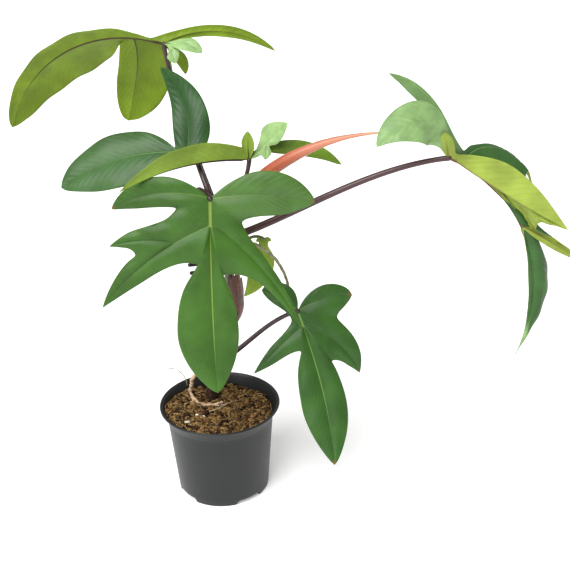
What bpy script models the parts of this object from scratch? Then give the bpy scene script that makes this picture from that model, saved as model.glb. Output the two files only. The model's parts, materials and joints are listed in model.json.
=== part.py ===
"""Potted philodendron with cut leaves: a climbing house plant in a plastic nursery pot.

The origin is the middle of the pot's flat underside, +Z is up and -Y is the plant's front.
Design values are in millimetres; MM turns them into metres when a mesh is made.
"""
from collections import namedtuple

import bmesh
import bpy
import numpy as np

MM = 0.001
GAP = 0.3                # clearance between pieces that touch

# Pot: a 12 cm nursery pot with a flared rim
POT_HEIGHT = 95.0
RIM_RADIUS = 60.0
FOOT_RADIUS = 45.5
FOOT_CHAMFER = 1.5
WALL = 1.3
FLOOR = 5.0
FLARE_START = 80.0       # height where the wall starts to flare out to the rim
TAPER = 0.09             # how much the wall's radius grows per millimetre of height
LIP_RADIUS = 1.1
LIP_ARC = (150, 100, 50, 0, -50)           # degrees round the rolled lip, inside to outside
WALL_HEIGHTS = (40.0, 80.0, 84.0, 88.0, 91.0)  # where the wall's section is sampled
NOTCH_COUNT = 4          # drainage notches in the foot
NOTCH_WIDTH = 28.0
NOTCH_HEIGHT = 4.0
NOTCH_DEPTH = 6.0
NOTCH_TURN = 36.0        # degrees round to the first notch
POT_STEPS = 40

# Soil
SOIL_HEIGHT = 87.0
SOIL_TILT = (-0.055, -0.06)
SOIL_LUMP = 1.2
SOIL_RINGS = 7
SOIL_CLEARANCE = 0.5     # to the pot's faceted wall
SOIL_SHOULDER = 76.0     # height where the soil's rounded edge meets the wall

# Leaves
BLADE_THICKNESS = 0.8
BLADE_STEP = 13.0        # spacing of the samples along a rib
BLADE_COLUMNS = 3        # cells between a rib and the margin
BULGE = 0.09             # how far a blade swells between its ribs, as a share of the width
SHARP_ANGLE = 50.0       # degrees; edges sharper than this aren't shaded smooth

COLLECTION = "philodendron"
CUTTERS = "cutters"

COLOURS = {
    "pot_plastic": ((0.045, 0.05, 0.052, 1.0), 0.45),
    "potting_soil": ((0.13, 0.065, 0.03, 1.0), 0.95),
    "leaf_green": ((0.07, 0.19, 0.035, 1.0), 0.35),
    "young_leaf_green": ((0.3, 0.42, 0.05, 1.0), 0.4),
    "petiole_dark": ((0.07, 0.02, 0.02, 1.0), 0.4),
    "stem_green": ((0.16, 0.2, 0.06, 1.0), 0.5),
    "sheath_red": ((0.25, 0.07, 0.035, 1.0), 0.5),
    "spike_red": ((0.62, 0.16, 0.07, 1.0), 0.4),
    "root_tan": ((0.5, 0.36, 0.24, 1.0), 0.8),
    "tie_black": ((0.01, 0.01, 0.01, 1.0), 0.5),
    "grain_white": ((0.85, 0.82, 0.75, 1.0), 0.8),
}

Lobe = namedtuple("Lobe", "length first last left right parent at peak taper base up fold")


def lobe(length, first, last, left, right, parent=None, at=0.0, peak=0.5, taper=0.8, base=0.75,
         up=None, fold=(0, 0)):
    """One lobe: its rib is an arc whose heading turns from first to last.

    A heading is (azimuth, rise) in degrees: azimuth 0 is +X and 90 is +Y, and rise is upward.
    left and right are half widths, and parent and at say which rib it leaves, and where.
    """
    return Lobe(length, first, last, left, right, parent, at, peak, taper, base, up, fold)


# Each leaf's lobes go clockwise, seen on its upper side, from one side of the petiole round to
# the other. A sinus is the inner end of the cut between two lobes: it lies between a point on the
# one's rib and a point on the next one's (their shares along the ribs), at the third share.
LEAVES = {
    "leaf_front": dict(
        material="leaf_green",
        junction=(5, -40, 330),
        up=(0, -0.97, 0.24),
        lobes=(
            lobe(95, (-5, 10), (10, -20), 22, 18, peak=0.55, taper=0.75),
            lobe(130, (-10, -35), (-20, -65), 9, 9, parent=2, at=0.14, peak=0.3, taper=1.1,
                 base=0.9),
            lobe(178, (-100, -78), (-82, -70), 23, 33, peak=0.68, taper=0.75, base=0.5),
            lobe(128, (185, -20), (185, -52), 13, 13, parent=2, at=0.14, peak=0.45, taper=0.9),
            lobe(60, (180, 15), (175, -20), 9, 12, parent=3, at=0.28, peak=0.3, taper=1.0),
            lobe(95, (180, 20), (165, -35), 12, 15),
        ),
        sinuses=((0.3, 0.25, 0.5), (0.2, 0.5, 0.6), (0.5, 0.15, 0.5), (0.6, 0.6, 0.5),
                 (0.0, 0.3, 0.7)),
    ),
    "leaf_lower": dict(
        material="leaf_green",
        junction=(80, -30, 210),
        up=(0.05, -0.93, 0.36),
        lobes=(
            lobe(55, (10, 30), (15, -10), 13, 16, peak=0.55, taper=0.6),
            lobe(75, (-10, -15), (-5, -70), 16, 12, parent=2, at=0.1, peak=0.45, taper=0.9),
            lobe(150, (-40, -65), (-85, -60), 20, 23, peak=0.6, base=0.8),
            lobe(65, (-160, -35), (-165, -45), 10, 6, parent=2, at=0.1, peak=0.4, taper=0.9),
            lobe(40, (160, 50), (165, 5), 9, 13, taper=0.6),
        ),
        sinuses=((0.7, 0.5, 0.45), (0.6, 0.4, 0.5), (0.3, 0.35, 0.4), (0.2, 0.2, 0.5)),
    ),
    "leaf_left": dict(
        material="leaf_green",
        junction=(-10, 10, 355),
        up=(-0.15, -0.75, 0.65),
        lobes=(
            lobe(135, (170, 5), (180, -35), 28, 26, taper=0.65, base=0.6),
            lobe(85, (60, 65), (180, 50), 15, 21, parent=0, at=0.05, peak=0.2, base=0.95,
                 up=(-0.1, -0.95, 0.2)),
            lobe(25, (-5, 5), (-15, -5), 5, 5, taper=0.7),
        ),
        sinuses=((0.15, 0.15, 0.15), (0.2, 0.6, 0.75)),
    ),
    "leaf_young": dict(
        material="young_leaf_green",
        junction=(50, 15, 265),
        up=(0.1, -0.95, 0.3),
        lobes=(
            lobe(8, (5, 10), (0, -50), 2, 2, taper=0.7),
            lobe(60, (-90, -75), (-165, -40), 13, 13, peak=0.3, taper=0.9, base=0.7),
            lobe(8, (180, 10), (185, -50), 2, 2, taper=0.7),
        ),
        sinuses=((1.0, 0.2, 0.5), (0.2, 1.0, 0.6)),
    ),
    "leaf_middle": dict(
        material="young_leaf_green",
        junction=(40, 0, 350),
        up=(0, 0.2, 1),
        lobes=(
            lobe(30, (-120, 80), (-60, 80), 6, 6, taper=0.7, up=(0, 0.9, 0.3)),
            lobe(125, (-160, 12), (-155, -20), 20, 10, peak=0.4, taper=1.0, base=0.9,
                 up=(0, 0.1, 1), fold=(75, 5)),
            lobe(95, (30, 30), (-15, -45), 4, 11, taper=0.7, up=(0, -0.8, 0.6)),
            lobe(50, (25, 40), (-20, 45), 14, 9, up=(0, -0.8, 0.6)),
            lobe(15, (-60, -60), (-150, -70), 5, 5, parent=3, at=0.45, peak=0.4,
                 up=(0, -0.9, 0.3)),
        ),
        sinuses=((0.6, 0.12, 0.3), (0.15, 0.2, 0.5), (0.2, 0.2, 0.2), (0.5, 0.3, 0.5)),
    ),
    "leaf_right": dict(
        material="young_leaf_green",
        junction=(220, -10, 350),
        up=(0.5, 0.4, 0.75),
        lobes=(
            lobe(105, (-135, 90), (-170, -55), 20, 20,
                 up=((0.3, -0.9, 0.2), (-0.3, -0.6, 0.7))),
            lobe(105, (150, 90), (200, 20), 9, 3, peak=0.6, up=(0.3, -0.9, 0.2)),
            lobe(105, (60, 30), (-25, -75), 9, 18, parent=3, at=0.06, peak=0.4,
                 up=(0.5, 0.2, 0.8)),
            lobe(245, (5, -28), (5, -114), 19, 6, peak=0.62, taper=1.8, base=0.1,
                 up=((0.7, 0.26, 0.54), (0.3, -1.4, 0.3))),
            lobe(70, (-10, -30), (-10, -32), 5, 5, parent=3, at=0.4, up=(0.2, 0.95, -0.1)),
            lobe(120, (-20, -32), (-8, -28), 11, 25, parent=3, at=0.03, peak=0.35, taper=1.0,
                 base=0.5, up=(0.2, 0.95, -0.1)),
            lobe(30, (-110, 60), (-135, 75), 7, 6, taper=0.5, up=(0.2, 0.9, 0.1)),
        ),
        sinuses=((0.25, 0.25, 0.5), (0.05, 0.2, 0.6), (1.0, 0.45, 0.8), (0.42, 0.1, 0.5),
                 (0.3, 0.6, 0.1), (0.1, 0.5, 0.6)),
    ),
    "leaf_top": dict(
        material="young_leaf_green",
        junction=(-35, 55, 445),
        up=(-0.3, 0.8, 0.5),
        lobes=(
            lobe(35, (0, -35), (-10, -80), 4, 8, taper=0.7, up=(0, 0.9, 0.3)),
            lobe(30, (-65, 20), (-55, -80), 7, 8, taper=0.6, up=(0, -0.8, 0.6)),
            lobe(45, (-40, 30), (-20, -40), 8, 9, taper=0.6, up=(0, -0.6, 0.8)),
            lobe(110, (20, 22), (0, -38), 5, 6, taper=0.7, up=(0, 0.9, 0)),
            lobe(205, (165, 15), (165, -72), 19, 42, peak=0.4, taper=0.6, base=0.8),
            lobe(100, (80, -55), (160, -75), 18, 34, parent=4, at=0.14, taper=0.5, base=0.9,
                 up=(-0.2, 0.9, 0.2)),
        ),
        sinuses=((0.3, 0.3, 0.3), (0.7, 0.4, 0.5), (0.15, 0.1, 0.5), (0.1, 0.12, 0.7),
                 (0.25, 0.2, 0.3)),
    ),
}

# The stem as arcs (length, first heading, last heading): it leans right, then stands up.
STEM_START = (-10, 25, 60)
STEM = ((130, (-10, 92), (-10, 65)), (105, (-85, 84), (-85, 84)))
STEM_RADII = (5.5, 4.6)

# name: (height on the stem, heading there, heading at the blade, handle lengths, radius at the
# stem, radius at the blade); a petiole is the curve that these handles pull
PETIOLES = {
    "petiole_front": (250, (-155, 55), (-60, -15), (50, 50), 3.0, 2.4),
    "petiole_left": (266, (-100, 50), (105, 20), (60, 60), 2.8, 2.5),
    "petiole_top": (272, (155, 68), (140, 80), (55, 55), 2.8, 1.9),
    "petiole_middle": (278, (60, 60), (-60, 75), (35, 30), 2.4, 2.0),
    "petiole_right": (268, (-12, 22), (0, 5), (75, 75), 3.8, 2.4),
    "petiole_lower": (125, (-30, 32), (-25, 25), (40, 40), 2.6, 2.0),
    "petiole_young": (246, (15, 48), (-20, -30), (15, 15), 1.8, 1.4),
}
PETIOLE_STOP = 2.4       # where a petiole stops short of its leaf's junction, in end radii

# The rolled-up new leaf: an arc from the stem's top, and its radii from there to the tip
SPIKE = ((180, (-14, 58), (-14, 5)),)
SPIKE_RADII = (3.5, 5.4, 6.2, 5.6, 3.6, 1.8, 0.7)

# Roots: arcs and end radii; those that start on the stem have the height there
AERIAL_HEIGHT = 256
AERIAL_ROOT = (((35, (-60, 40), (-5, 0)), (65, (0, -30), (0, -92))), 1.9, 1.3)
THICK_HEIGHT = 128
THICK_ROOT = (((48, (190, -15), (150, -90)),), ((42, (-80, 0), (15, 0)),), 2.2, 1.3)
THIN_START = (-13, -12, 0)
THIN_ROOT = ((38, (10, 0), (80, 0)),)
THIN_ROOT_RADIUS = 0.8
THIN_TIP_RADIUS = 0.6
THIN_ROOT_ARCH = 3.0
HAIR_START = (-35, 38, 93)
HAIR_ROOT = ((32, (110, 65), (190, -10)),)
HAIR_RADIUS = 0.45
HAIR_TIP_RADIUS = 0.3
ROOT_LIFT = 0.8          # clear space under a root that lies on the soil
ROUTE_POINTS = 8         # places along a root where it is laid on the soil

# The old leaf's sheath, a scale open towards the stem
SHEATH_HEIGHTS = (176, 233)
SHEATH_SHIFT = (3.5, -2.5, 0)    # from the stem's middle to the sheath's
SHEATH_RADII = (6.8, 8.8, 8.6, 7.4)
SHEATH_THICKNESS = 0.8
SHEATH_SPREAD = 95.0    # degrees either side of its back
SHEATH_FACING = (0.4, -0.92)
SHEATH_ROWS = 10
SHEATH_COLUMNS = 13

# Plant tie: a loop round the stem with two ends
TIE_HEIGHT = 240.0
TIE_RADIUS = 1.9
TIE_LOOP_RADIUS = 7.2
TIE_ARC = (200, -140)    # degrees round the stem, from one end to the other
TIE_CLIMB = (5.0, -2.5)  # height above TIE_HEIGHT at each end of the loop
TIE_STEPS = 22
TIE_TAIL = 31.0          # length of each end
TIE_HEADING = 195.0      # azimuth that both ends point along

# name: (distance from the pot's middle, bearing in degrees, radius)
GRAINS = {"perlite_grain_1": (28, 218, 1.6), "perlite_grain_2": (25, 232, 1.5),
          "bark_flake": (44, 225, 2.0)}


def clear_scene():
    """Empty the scene."""
    for obj in list(bpy.data.objects):
        bpy.data.objects.remove(obj, do_unlink=True)


def make_collection(name):
    """A collection linked to the scene."""
    collection = bpy.data.collections.new(name)
    bpy.context.scene.collection.children.link(collection)
    return collection


def make_materials():
    """One Principled material for each finish."""
    materials = {}
    for name, (colour, roughness) in COLOURS.items():
        material = bpy.data.materials.new(name)
        material.use_nodes = True
        shader = material.node_tree.nodes["Principled BSDF"]
        shader.inputs["Base Color"].default_value = colour
        shader.inputs["Roughness"].default_value = roughness
        shader.inputs["Metallic"].default_value = 0.0
        materials[name] = material
    return materials


def add_object(name, data, collection, material=None):
    """Link an object and give it its material."""
    obj = bpy.data.objects.new(name, data)
    collection.objects.link(obj)
    if material is not None:
        data.materials.append(material)
    return obj


def make_cutter(obj):
    """Mark an object as a cutting guide."""
    obj.hide_render = True
    obj.display_type = "WIRE"


def subtract(obj, cutter):
    """Cut one object by another."""
    modifier = obj.modifiers.new("cut", "BOOLEAN")
    modifier.operation = "DIFFERENCE"
    modifier.solver = "EXACT"
    modifier.object = cutter


def unit(vectors):
    """Vectors scaled to length one."""
    vectors = np.asarray(vectors, float)
    return vectors / np.maximum(np.linalg.norm(vectors, axis=-1, keepdims=True), 1e-9)


def evenly(curve, count):
    """A polyline sampled again at equal distances."""
    travelled = np.concatenate([[0], np.cumsum(np.linalg.norm(np.diff(curve, axis=0), axis=1))])
    wanted = np.linspace(0, travelled[-1], count)
    return np.stack([np.interp(wanted, travelled, curve[:, k]) for k in range(3)], axis=-1)


def smooth_curve(points, count):
    """A smooth curve through the points (cubic Hermite spans), evenly sampled."""
    points = np.asarray(points, float)
    knots = np.concatenate([[0], np.cumsum(np.linalg.norm(np.diff(points, axis=0), axis=1))])
    slopes = np.gradient(points, knots, axis=0)
    t = np.linspace(0, knots[-1], 24 * len(points))
    i = np.clip(np.searchsorted(knots, t, side="right") - 1, 0, len(points) - 2)
    span = (knots[i + 1] - knots[i])[:, None]
    u = (t - knots[i])[:, None] / span
    curve = ((1 + 2 * u) * (1 - u) ** 2 * points[i] + u * (1 - u) ** 2 * span * slopes[i]
             + u ** 2 * (3 - 2 * u) * points[i + 1] - u ** 2 * (1 - u) * span * slopes[i + 1])
    return evenly(curve, count)


def heading(azimuth, rise):
    """The unit vector of an azimuth and a rise in degrees."""
    azimuth, rise = np.radians(azimuth), np.radians(rise)
    return np.stack([np.cos(rise) * np.cos(azimuth), np.cos(rise) * np.sin(azimuth),
                     np.sin(rise)], axis=-1)


def arc(start, length, first, last, count=40):
    """A curve whose heading turns evenly from first to last: the running sum of short steps."""
    turning = heading(*[np.linspace(a, b, count) for a, b in zip(first, last)])
    steps = (turning[1:] + turning[:-1]) / 2 * length / (count - 1)
    return np.vstack([[start], start + np.cumsum(steps, axis=0)]).astype(float)


def arcs(start, stretches):
    """Arcs one after another."""
    curve = np.array([start], float)
    for length, first, last in stretches:
        curve = np.vstack([curve[:-1], arc(curve[-1], length, first, last)])
    return curve


def stem_axis(count):
    """The stem's middle line, rounded where its arcs meet."""
    return smooth_curve(evenly(arcs(STEM_START, STEM), 12), count)


def stem_at(height):
    """The stem's middle at a height."""
    axis = stem_axis(200)
    return np.array([np.interp(height, axis[:, 2], axis[:, k]) for k in range(3)])


def petiole_route(name):
    """A petiole's cubic curve from the stem's middle to its leaf's junction."""
    height, first, last, handles, _, _ = PETIOLES[name]
    start, end = stem_at(height), np.array(LEAVES[name.replace("petiole", "leaf")]["junction"], float)
    near, far = start + heading(*first) * handles[0], end - heading(*last) * handles[1]
    t = np.linspace(0, 1, 60)[:, None]
    return ((1 - t) ** 3 * start + 3 * t * (1 - t) ** 2 * near + 3 * t ** 2 * (1 - t) * far
            + t ** 3 * end)


def widths_along(fraction, peak, taper, base):
    """Half width of a lobe as a share of its widest: a rise to the peak, then a rounded taper."""
    rise = base + (1 - base) * np.sin(np.pi / 2 * np.clip(fraction / peak, 0, 1))
    fall = np.cos(np.pi / 2 * np.clip((fraction - peak) / (1 - peak), 0, 1)) ** taper
    return rise * fall


def lay_ribs(leaf):
    """Every lobe's rib as a sampled curve, and the sample of its parent that it leaves."""
    lobes = leaf["lobes"]
    ribs = [None] * len(lobes)
    joins = [0] * len(lobes)

    def lay(k):
        if ribs[k] is not None:
            return
        start = leaf["junction"]
        if lobes[k].parent is not None:
            lay(lobes[k].parent)
            trunk = ribs[lobes[k].parent]
            joins[k] = int(round(lobes[k].at * (len(trunk) - 1)))
            start = trunk[joins[k]]
        shape = lobes[k]
        ribs[k] = evenly(arc(start, shape.length, shape.first, shape.last),
                         max(4, int(round(shape.length / BLADE_STEP)) + 1))

    for k in range(len(lobes)):
        lay(k)
    return ribs, joins


def side_directions(leaf, k, rib):
    """Unit vectors from a rib towards the lobe's left and right margins."""
    up = leaf["lobes"][k].up or leaf["up"]
    share = np.linspace(0, 1, len(rib))[:, None]
    up = np.array(up, float)
    if up.ndim == 2:
        up = up[0] * (1 - share) + up[1] * share
    along = unit(np.gradient(rib, axis=0))
    left = unit(np.cross(np.broadcast_to(unit(up), along.shape), along))
    normal = np.cross(along, left)
    fold_left, fold_right = np.radians(leaf["lobes"][k].fold)
    return (left * np.cos(fold_left) + normal * np.sin(fold_left),
            -left * np.cos(fold_right) + normal * np.sin(fold_right))


def margin(leaf, k, rib, side, sinus):
    """One side's margin from the sinus, or from the junction, out to the tip."""
    shape = leaf["lobes"][k]
    fraction = np.linspace(0, 1, len(rib))
    base = 0.0 if sinus == leaf["junction"] else shape.base
    width = (shape.left, shape.right)[side] * widths_along(fraction, shape.peak, shape.taper, base)
    edge = rib + side_directions(leaf, k, rib)[side] * width[:, None]
    near = rib[:max(1, int(len(rib) * 0.7))]
    i = int(np.argmin(np.linalg.norm(near - sinus, axis=1)))
    ease = np.clip(1 - (fraction - fraction[i]) / (1 - fraction[i]), 0, 1) ** 6
    return (edge + (np.array(sinus) - edge[i]) * ease[:, None])[i:]


def route_to_junction(leaf, joins, ribs, k):
    """Points from a lobe's tip down its rib, and its parents' ribs, to the junction."""
    points = list(ribs[k][:0:-1])
    while leaf["lobes"][k].parent is not None:
        parent = leaf["lobes"][k].parent
        points += list(ribs[parent][joins[k]:0:-1])
        k = parent
    return np.array(points + [np.array(leaf["junction"], float)])


def rib_route(leaf, joins, ribs, first, second):
    """Points down one rib and up the next, and the index of the turning point."""
    def chain(k):
        steps = [(k, len(ribs[k]) - 1)]
        while leaf["lobes"][steps[-1][0]].parent is not None:
            steps.append((leaf["lobes"][steps[-1][0]].parent, joins[steps[-1][0]]))
        return steps

    down, up = chain(first), chain(second)
    shared = next((k for k, _ in down if k in [other for other, _ in up]), None)

    def walk(steps):
        points = []
        for k, top in steps:
            if k == shared:
                return points, top
            points += list(ribs[k][top:0:-1])
        return points, None

    left_part, left_top = walk(down)
    right_part, right_top = walk(up)
    if shared is None:
        middle = [np.array(leaf["junction"], float)]
    elif left_top <= right_top:
        middle = list(ribs[shared][left_top:right_top + 1])
    else:
        middle = list(ribs[shared][right_top:left_top + 1])[::-1]
    turn = len(left_part) + (len(middle) - 1) // 2
    if shared == first:
        turn = len(left_part) + len(middle) - 1
    if shared == second:
        turn = len(left_part)
    return np.array(left_part + middle + right_part[::-1]), turn


def sector_grid(inner, outer):
    """The blade between a rib route and its margin, swelling between the two."""
    across = outer - inner
    along = np.gradient(inner * 0.5 + outer * 0.5, axis=0)
    normal = np.cross(along, across)
    for _ in range(3):
        normal[1:-1] = normal[:-2] + 2 * normal[1:-1] + normal[2:]
    normal = unit(normal)
    share = np.linspace(0, 1, BLADE_COLUMNS + 1)[None, :, None]
    swell = BULGE * np.linalg.norm(across, axis=1)[:, None, None] * np.sin(np.pi * share)
    return inner[:, None] + across[:, None] * share + normal[:, None] * swell


def sinus_point(ribs, k, sinus):
    """The inner end of the cut between lobes k and k + 1."""
    first, second = [rib[int(round(share * (len(rib) - 1))), :3]
                     for rib, share in zip(ribs[k:k + 2], sinus)]
    return tuple(first + (second - first) * sinus[2])


def leaf_grids(leaf):
    """The grids that make up one blade."""
    ribs, joins = lay_ribs(leaf)
    grids = []
    for k, shares in enumerate(leaf["sinuses"]):
        sinus = sinus_point(ribs, k, shares)
        inner, turn = rib_route(leaf, joins, ribs, k, k + 1)
        before = evenly(margin(leaf, k, ribs[k], 1, sinus)[::-1], turn + 1)
        after = evenly(margin(leaf, k + 1, ribs[k + 1], 0, sinus), len(inner) - turn)
        outer = np.vstack([before[:-1], after])
        low, high = max(turn - 1, 1), min(turn + 2, len(inner) - 1)
        outer[low:high] = (outer[low - 1:high - 1] + 2 * outer[low:high] + outer[low + 1:high + 1]) / 4
        grids.append(sector_grid(inner, outer))
    last = len(ribs) - 1
    inner = route_to_junction(leaf, joins, ribs, 0)[::-1]
    outer = margin(leaf, 0, ribs[0], 0, leaf["junction"])
    grids.append(sector_grid(inner, evenly(outer, len(inner))))
    inner = route_to_junction(leaf, joins, ribs, last)
    outer = margin(leaf, last, ribs[last], 1, leaf["junction"])[::-1]
    grids.append(sector_grid(inner, evenly(outer, len(inner))))
    return grids


def grid_faces(rows, columns, first):
    """Quads of one grid, counted from its first vertex."""
    corner = first + np.arange(rows - 1)[:, None] * columns + np.arange(columns - 1)
    quads = np.stack([corner, corner + columns, corner + columns + 1, corner + 1], axis=-1)
    return quads.reshape(-1, 4)


def join_grids(grids):
    """Grids as one mesh: shared points are merged and collapsed quads become triangles."""
    points, faces, first = [], [], 0
    for grid in grids:
        rows, columns = grid.shape[:2]
        points.append(grid.reshape(-1, 3))
        faces.append(grid_faces(rows, columns, first))
        first += rows * columns
    points = np.vstack(points)
    _, keep, merged = np.unique(np.round(points, 3), axis=0, return_index=True,
                                return_inverse=True)
    quads = merged.reshape(-1)[np.vstack(faces)]
    clean = []
    for quad in quads.tolist():
        loop = [v for i, v in enumerate(quad) if v != quad[i - 1]]
        if len(set(loop)) == len(loop) and len(loop) > 2:
            clean.append(loop)
    return points[keep], clean


def make_mesh(name, points, faces, edges=()):
    """A mesh in metres from points in millimetres."""
    mesh = bpy.data.meshes.new(name)
    mesh.from_pydata((np.asarray(points) * MM).tolist(), list(edges), faces)
    mesh.validate()
    mesh.update()
    return mesh


def thicken(obj, thickness):
    """Give an open surface its thickness, half to each side."""
    solidify = obj.modifiers.new("thickness", "SOLIDIFY")
    solidify.thickness = thickness * MM
    solidify.offset = 0.0


def make_leaf(name, collection, cutters, materials):
    """One lobed blade, and the thicker copy that keeps its petiole clear of it."""
    leaf = LEAVES[name]
    points, faces = join_grids(leaf_grids(leaf))
    mesh = make_mesh(name, points, faces)
    blade = add_object(name, mesh, collection, materials[leaf["material"]])
    mesh.shade_smooth()
    thicken(blade, BLADE_THICKNESS)
    clearance = add_object(name + "_clearance", mesh.copy(), cutters)
    thicken(clearance, BLADE_THICKNESS + 2 * GAP)
    make_cutter(clearance)
    return clearance


def tube_curve(name, points, radii):
    """A round curve through points in millimetres whose radii are given along it."""
    curve = bpy.data.curves.new(name, "CURVE")
    curve.dimensions = "3D"
    curve.bevel_depth = MM
    curve.bevel_resolution = 2
    curve.use_fill_caps = True
    spline = curve.splines.new("POLY")
    spline.points.add(len(points) - 1)
    shares = np.linspace(0, 1, len(points))
    knots = np.linspace(0, 1, len(radii))
    sizes = np.interp(shares, knots, radii)
    for spot, place, size in zip(spline.points, np.asarray(points) * MM, sizes):
        spot.co = (*place, 1.0)
        spot.radius = size
    return curve


def tube_mesh(name, points, radii, collection, material=None):
    """A round tube as a mesh object with welded caps."""
    curve = tube_curve(name, points, radii)
    draft = add_object(name + "_curve", curve, collection)
    bpy.context.view_layer.update()
    evaluated = draft.evaluated_get(bpy.context.evaluated_depsgraph_get())
    mesh = bpy.data.meshes.new_from_object(evaluated)
    mesh.name = name
    bpy.data.objects.remove(draft)
    shell = bmesh.new()
    shell.from_mesh(mesh)
    bmesh.ops.remove_doubles(shell, verts=shell.verts, dist=1e-6)
    shell.to_mesh(mesh)
    shell.free()
    mesh.shade_smooth()
    mesh.set_sharp_from_angle(angle=np.radians(SHARP_ANGLE))
    return add_object(name, mesh, collection, material)


def wall_radius(height):
    """Outer radius of the pot's wall at a height."""
    plain = FOOT_RADIUS + TAPER * height
    full = FOOT_RADIUS + TAPER * POT_HEIGHT
    rise = np.clip((height - FLARE_START) / (POT_HEIGHT - FLARE_START), 0, 1)
    return plain + (RIM_RADIUS - LIP_RADIUS - full) * rise ** 1.6


def pot_profile():
    """Section of the pot: out along the floor, up the inside, over the lip, down the outside."""
    top = POT_HEIGHT - LIP_RADIUS
    centre = RIM_RADIUS - LIP_RADIUS
    inside = [(wall_radius(h) - WALL, h) for h in (FLOOR, *WALL_HEIGHTS, top)]
    lip = [(centre + LIP_RADIUS * np.cos(a), top + LIP_RADIUS * np.sin(a))
           for a in np.radians(LIP_ARC)]
    outside = [(wall_radius(h), h) for h in reversed(WALL_HEIGHTS)]
    foot = [(FOOT_RADIUS, FOOT_CHAMFER), (FOOT_RADIUS - FOOT_CHAMFER, 0), (0, 0)]
    return [(0, FLOOR)] + inside + lip + outside + foot


def turned(name, profile, steps, collection, material=None):
    """A profile of (radius, height) points turned about the Z axis."""
    points = [(radius, 0, height) for radius, height in profile]
    edges = [(i, i + 1) for i in range(len(points) - 1)]
    obj = add_object(name, make_mesh(name, points, [], edges), collection, material)
    screw = obj.modifiers.new("turn", "SCREW")
    screw.axis = "Z"
    screw.steps = steps
    screw.render_steps = steps
    screw.use_merge_vertices = True
    screw.merge_threshold = 1e-5
    screw.use_smooth_shade = True
    return obj


def make_pot(collection, cutters, materials):
    """The pot, with drainage notches cut in its foot."""
    pot = turned("pot", pot_profile(), POT_STEPS, collection, materials["pot_plastic"])
    for k in range(NOTCH_COUNT):
        angle = np.radians(NOTCH_TURN) + 2 * np.pi * k / NOTCH_COUNT
        bpy.ops.mesh.primitive_cube_add(size=1.0)
        box = bpy.context.object
        box.name = f"notch_{k + 1}"
        for holder in list(box.users_collection):
            holder.objects.unlink(box)
        cutters.objects.link(box)
        box.scale = (2 * NOTCH_DEPTH * MM, NOTCH_WIDTH * MM, 2 * NOTCH_HEIGHT * MM)
        box.rotation_euler = (0, 0, angle)
        box.location = (FOOT_RADIUS * np.cos(angle) * MM, FOOT_RADIUS * np.sin(angle) * MM, 0)
        make_cutter(box)
        subtract(pot, box)
    return pot


def soil_height(x, y):
    """Height of the soil's surface: a tilt and a few broad lumps."""
    lumps = np.sin(x * 0.11 + 1.0) * np.cos(y * 0.13) + 0.5 * np.sin((x + y) * 0.21)
    return SOIL_HEIGHT + SOIL_TILT[0] * x + SOIL_TILT[1] * y + SOIL_LUMP * lumps


def make_soil(collection, materials, hole):
    """The soil that fills the pot, with a socket for the stem."""
    low = FLOOR + GAP
    reach = wall_radius(SOIL_SHOULDER) - WALL - SOIL_CLEARANCE
    rings = np.linspace(0, reach - SOIL_CLEARANCE, SOIL_RINGS)
    side = [(wall_radius(h) - WALL - SOIL_CLEARANCE, h) for h in (SOIL_SHOULDER, 40, low)]
    profile = [(r, SOIL_HEIGHT) for r in rings] + side + [(0, low)]
    draft = turned("soil_draft", profile, POT_STEPS, collection)
    bpy.context.view_layer.update()
    evaluated = draft.evaluated_get(bpy.context.evaluated_depsgraph_get())
    mesh = bpy.data.meshes.new_from_object(evaluated)
    bpy.data.objects.remove(draft)
    for vertex in mesh.vertices:
        if vertex.co.z > SOIL_SHOULDER * MM * 1.01:
            vertex.co.z = soil_height(vertex.co.x / MM, vertex.co.y / MM) * MM
    mesh.name = "soil"
    soil = add_object("soil", mesh, collection, materials["potting_soil"])
    subtract(soil, hole)
    return soil


def make_sheath(collection, materials):
    """The old leaf's sheath: a curved scale round the front of the stem."""
    heights = np.linspace(*SHEATH_HEIGHTS, SHEATH_ROWS)
    axis = np.array([stem_at(height) for height in heights]) + SHEATH_SHIFT
    radii = np.interp(np.linspace(0, 1, SHEATH_ROWS), np.linspace(0, 1, len(SHEATH_RADII)),
                      SHEATH_RADII)
    facing = np.arctan2(SHEATH_FACING[1], SHEATH_FACING[0])
    angles = facing + np.radians(np.linspace(-SHEATH_SPREAD, SHEATH_SPREAD, SHEATH_COLUMNS))
    ring = np.stack([np.cos(angles), np.sin(angles), 0 * angles], axis=-1)
    grid = axis[:, None] + radii[:, None, None] * ring[None]
    points, faces = join_grids([grid[:, ::-1]])
    mesh = make_mesh("old_sheath", points, faces)
    sheath = add_object("old_sheath", mesh, collection, materials["sheath_red"])
    mesh.shade_smooth()
    thicken(sheath, SHEATH_THICKNESS)
    return sheath


def make_tie(collection, materials):
    """The plant tie: in from one end, once round the stem and out to the other."""
    centre = stem_at(TIE_HEIGHT)
    angles = np.radians(np.linspace(*TIE_ARC, TIE_STEPS))
    climb = np.linspace(*TIE_CLIMB, TIE_STEPS)
    loop = np.stack([centre[0] + TIE_LOOP_RADIUS * np.cos(angles),
                     centre[1] + TIE_LOOP_RADIUS * np.sin(angles), TIE_HEIGHT + climb], axis=-1)
    tail = heading(TIE_HEADING, 0.0) * TIE_TAIL
    points = np.vstack([loop[0] + tail, loop, loop[-1] + tail])
    return tube_mesh("plant_tie", points, (TIE_RADIUS, TIE_RADIUS), collection,
                     materials["tie_black"])


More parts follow.
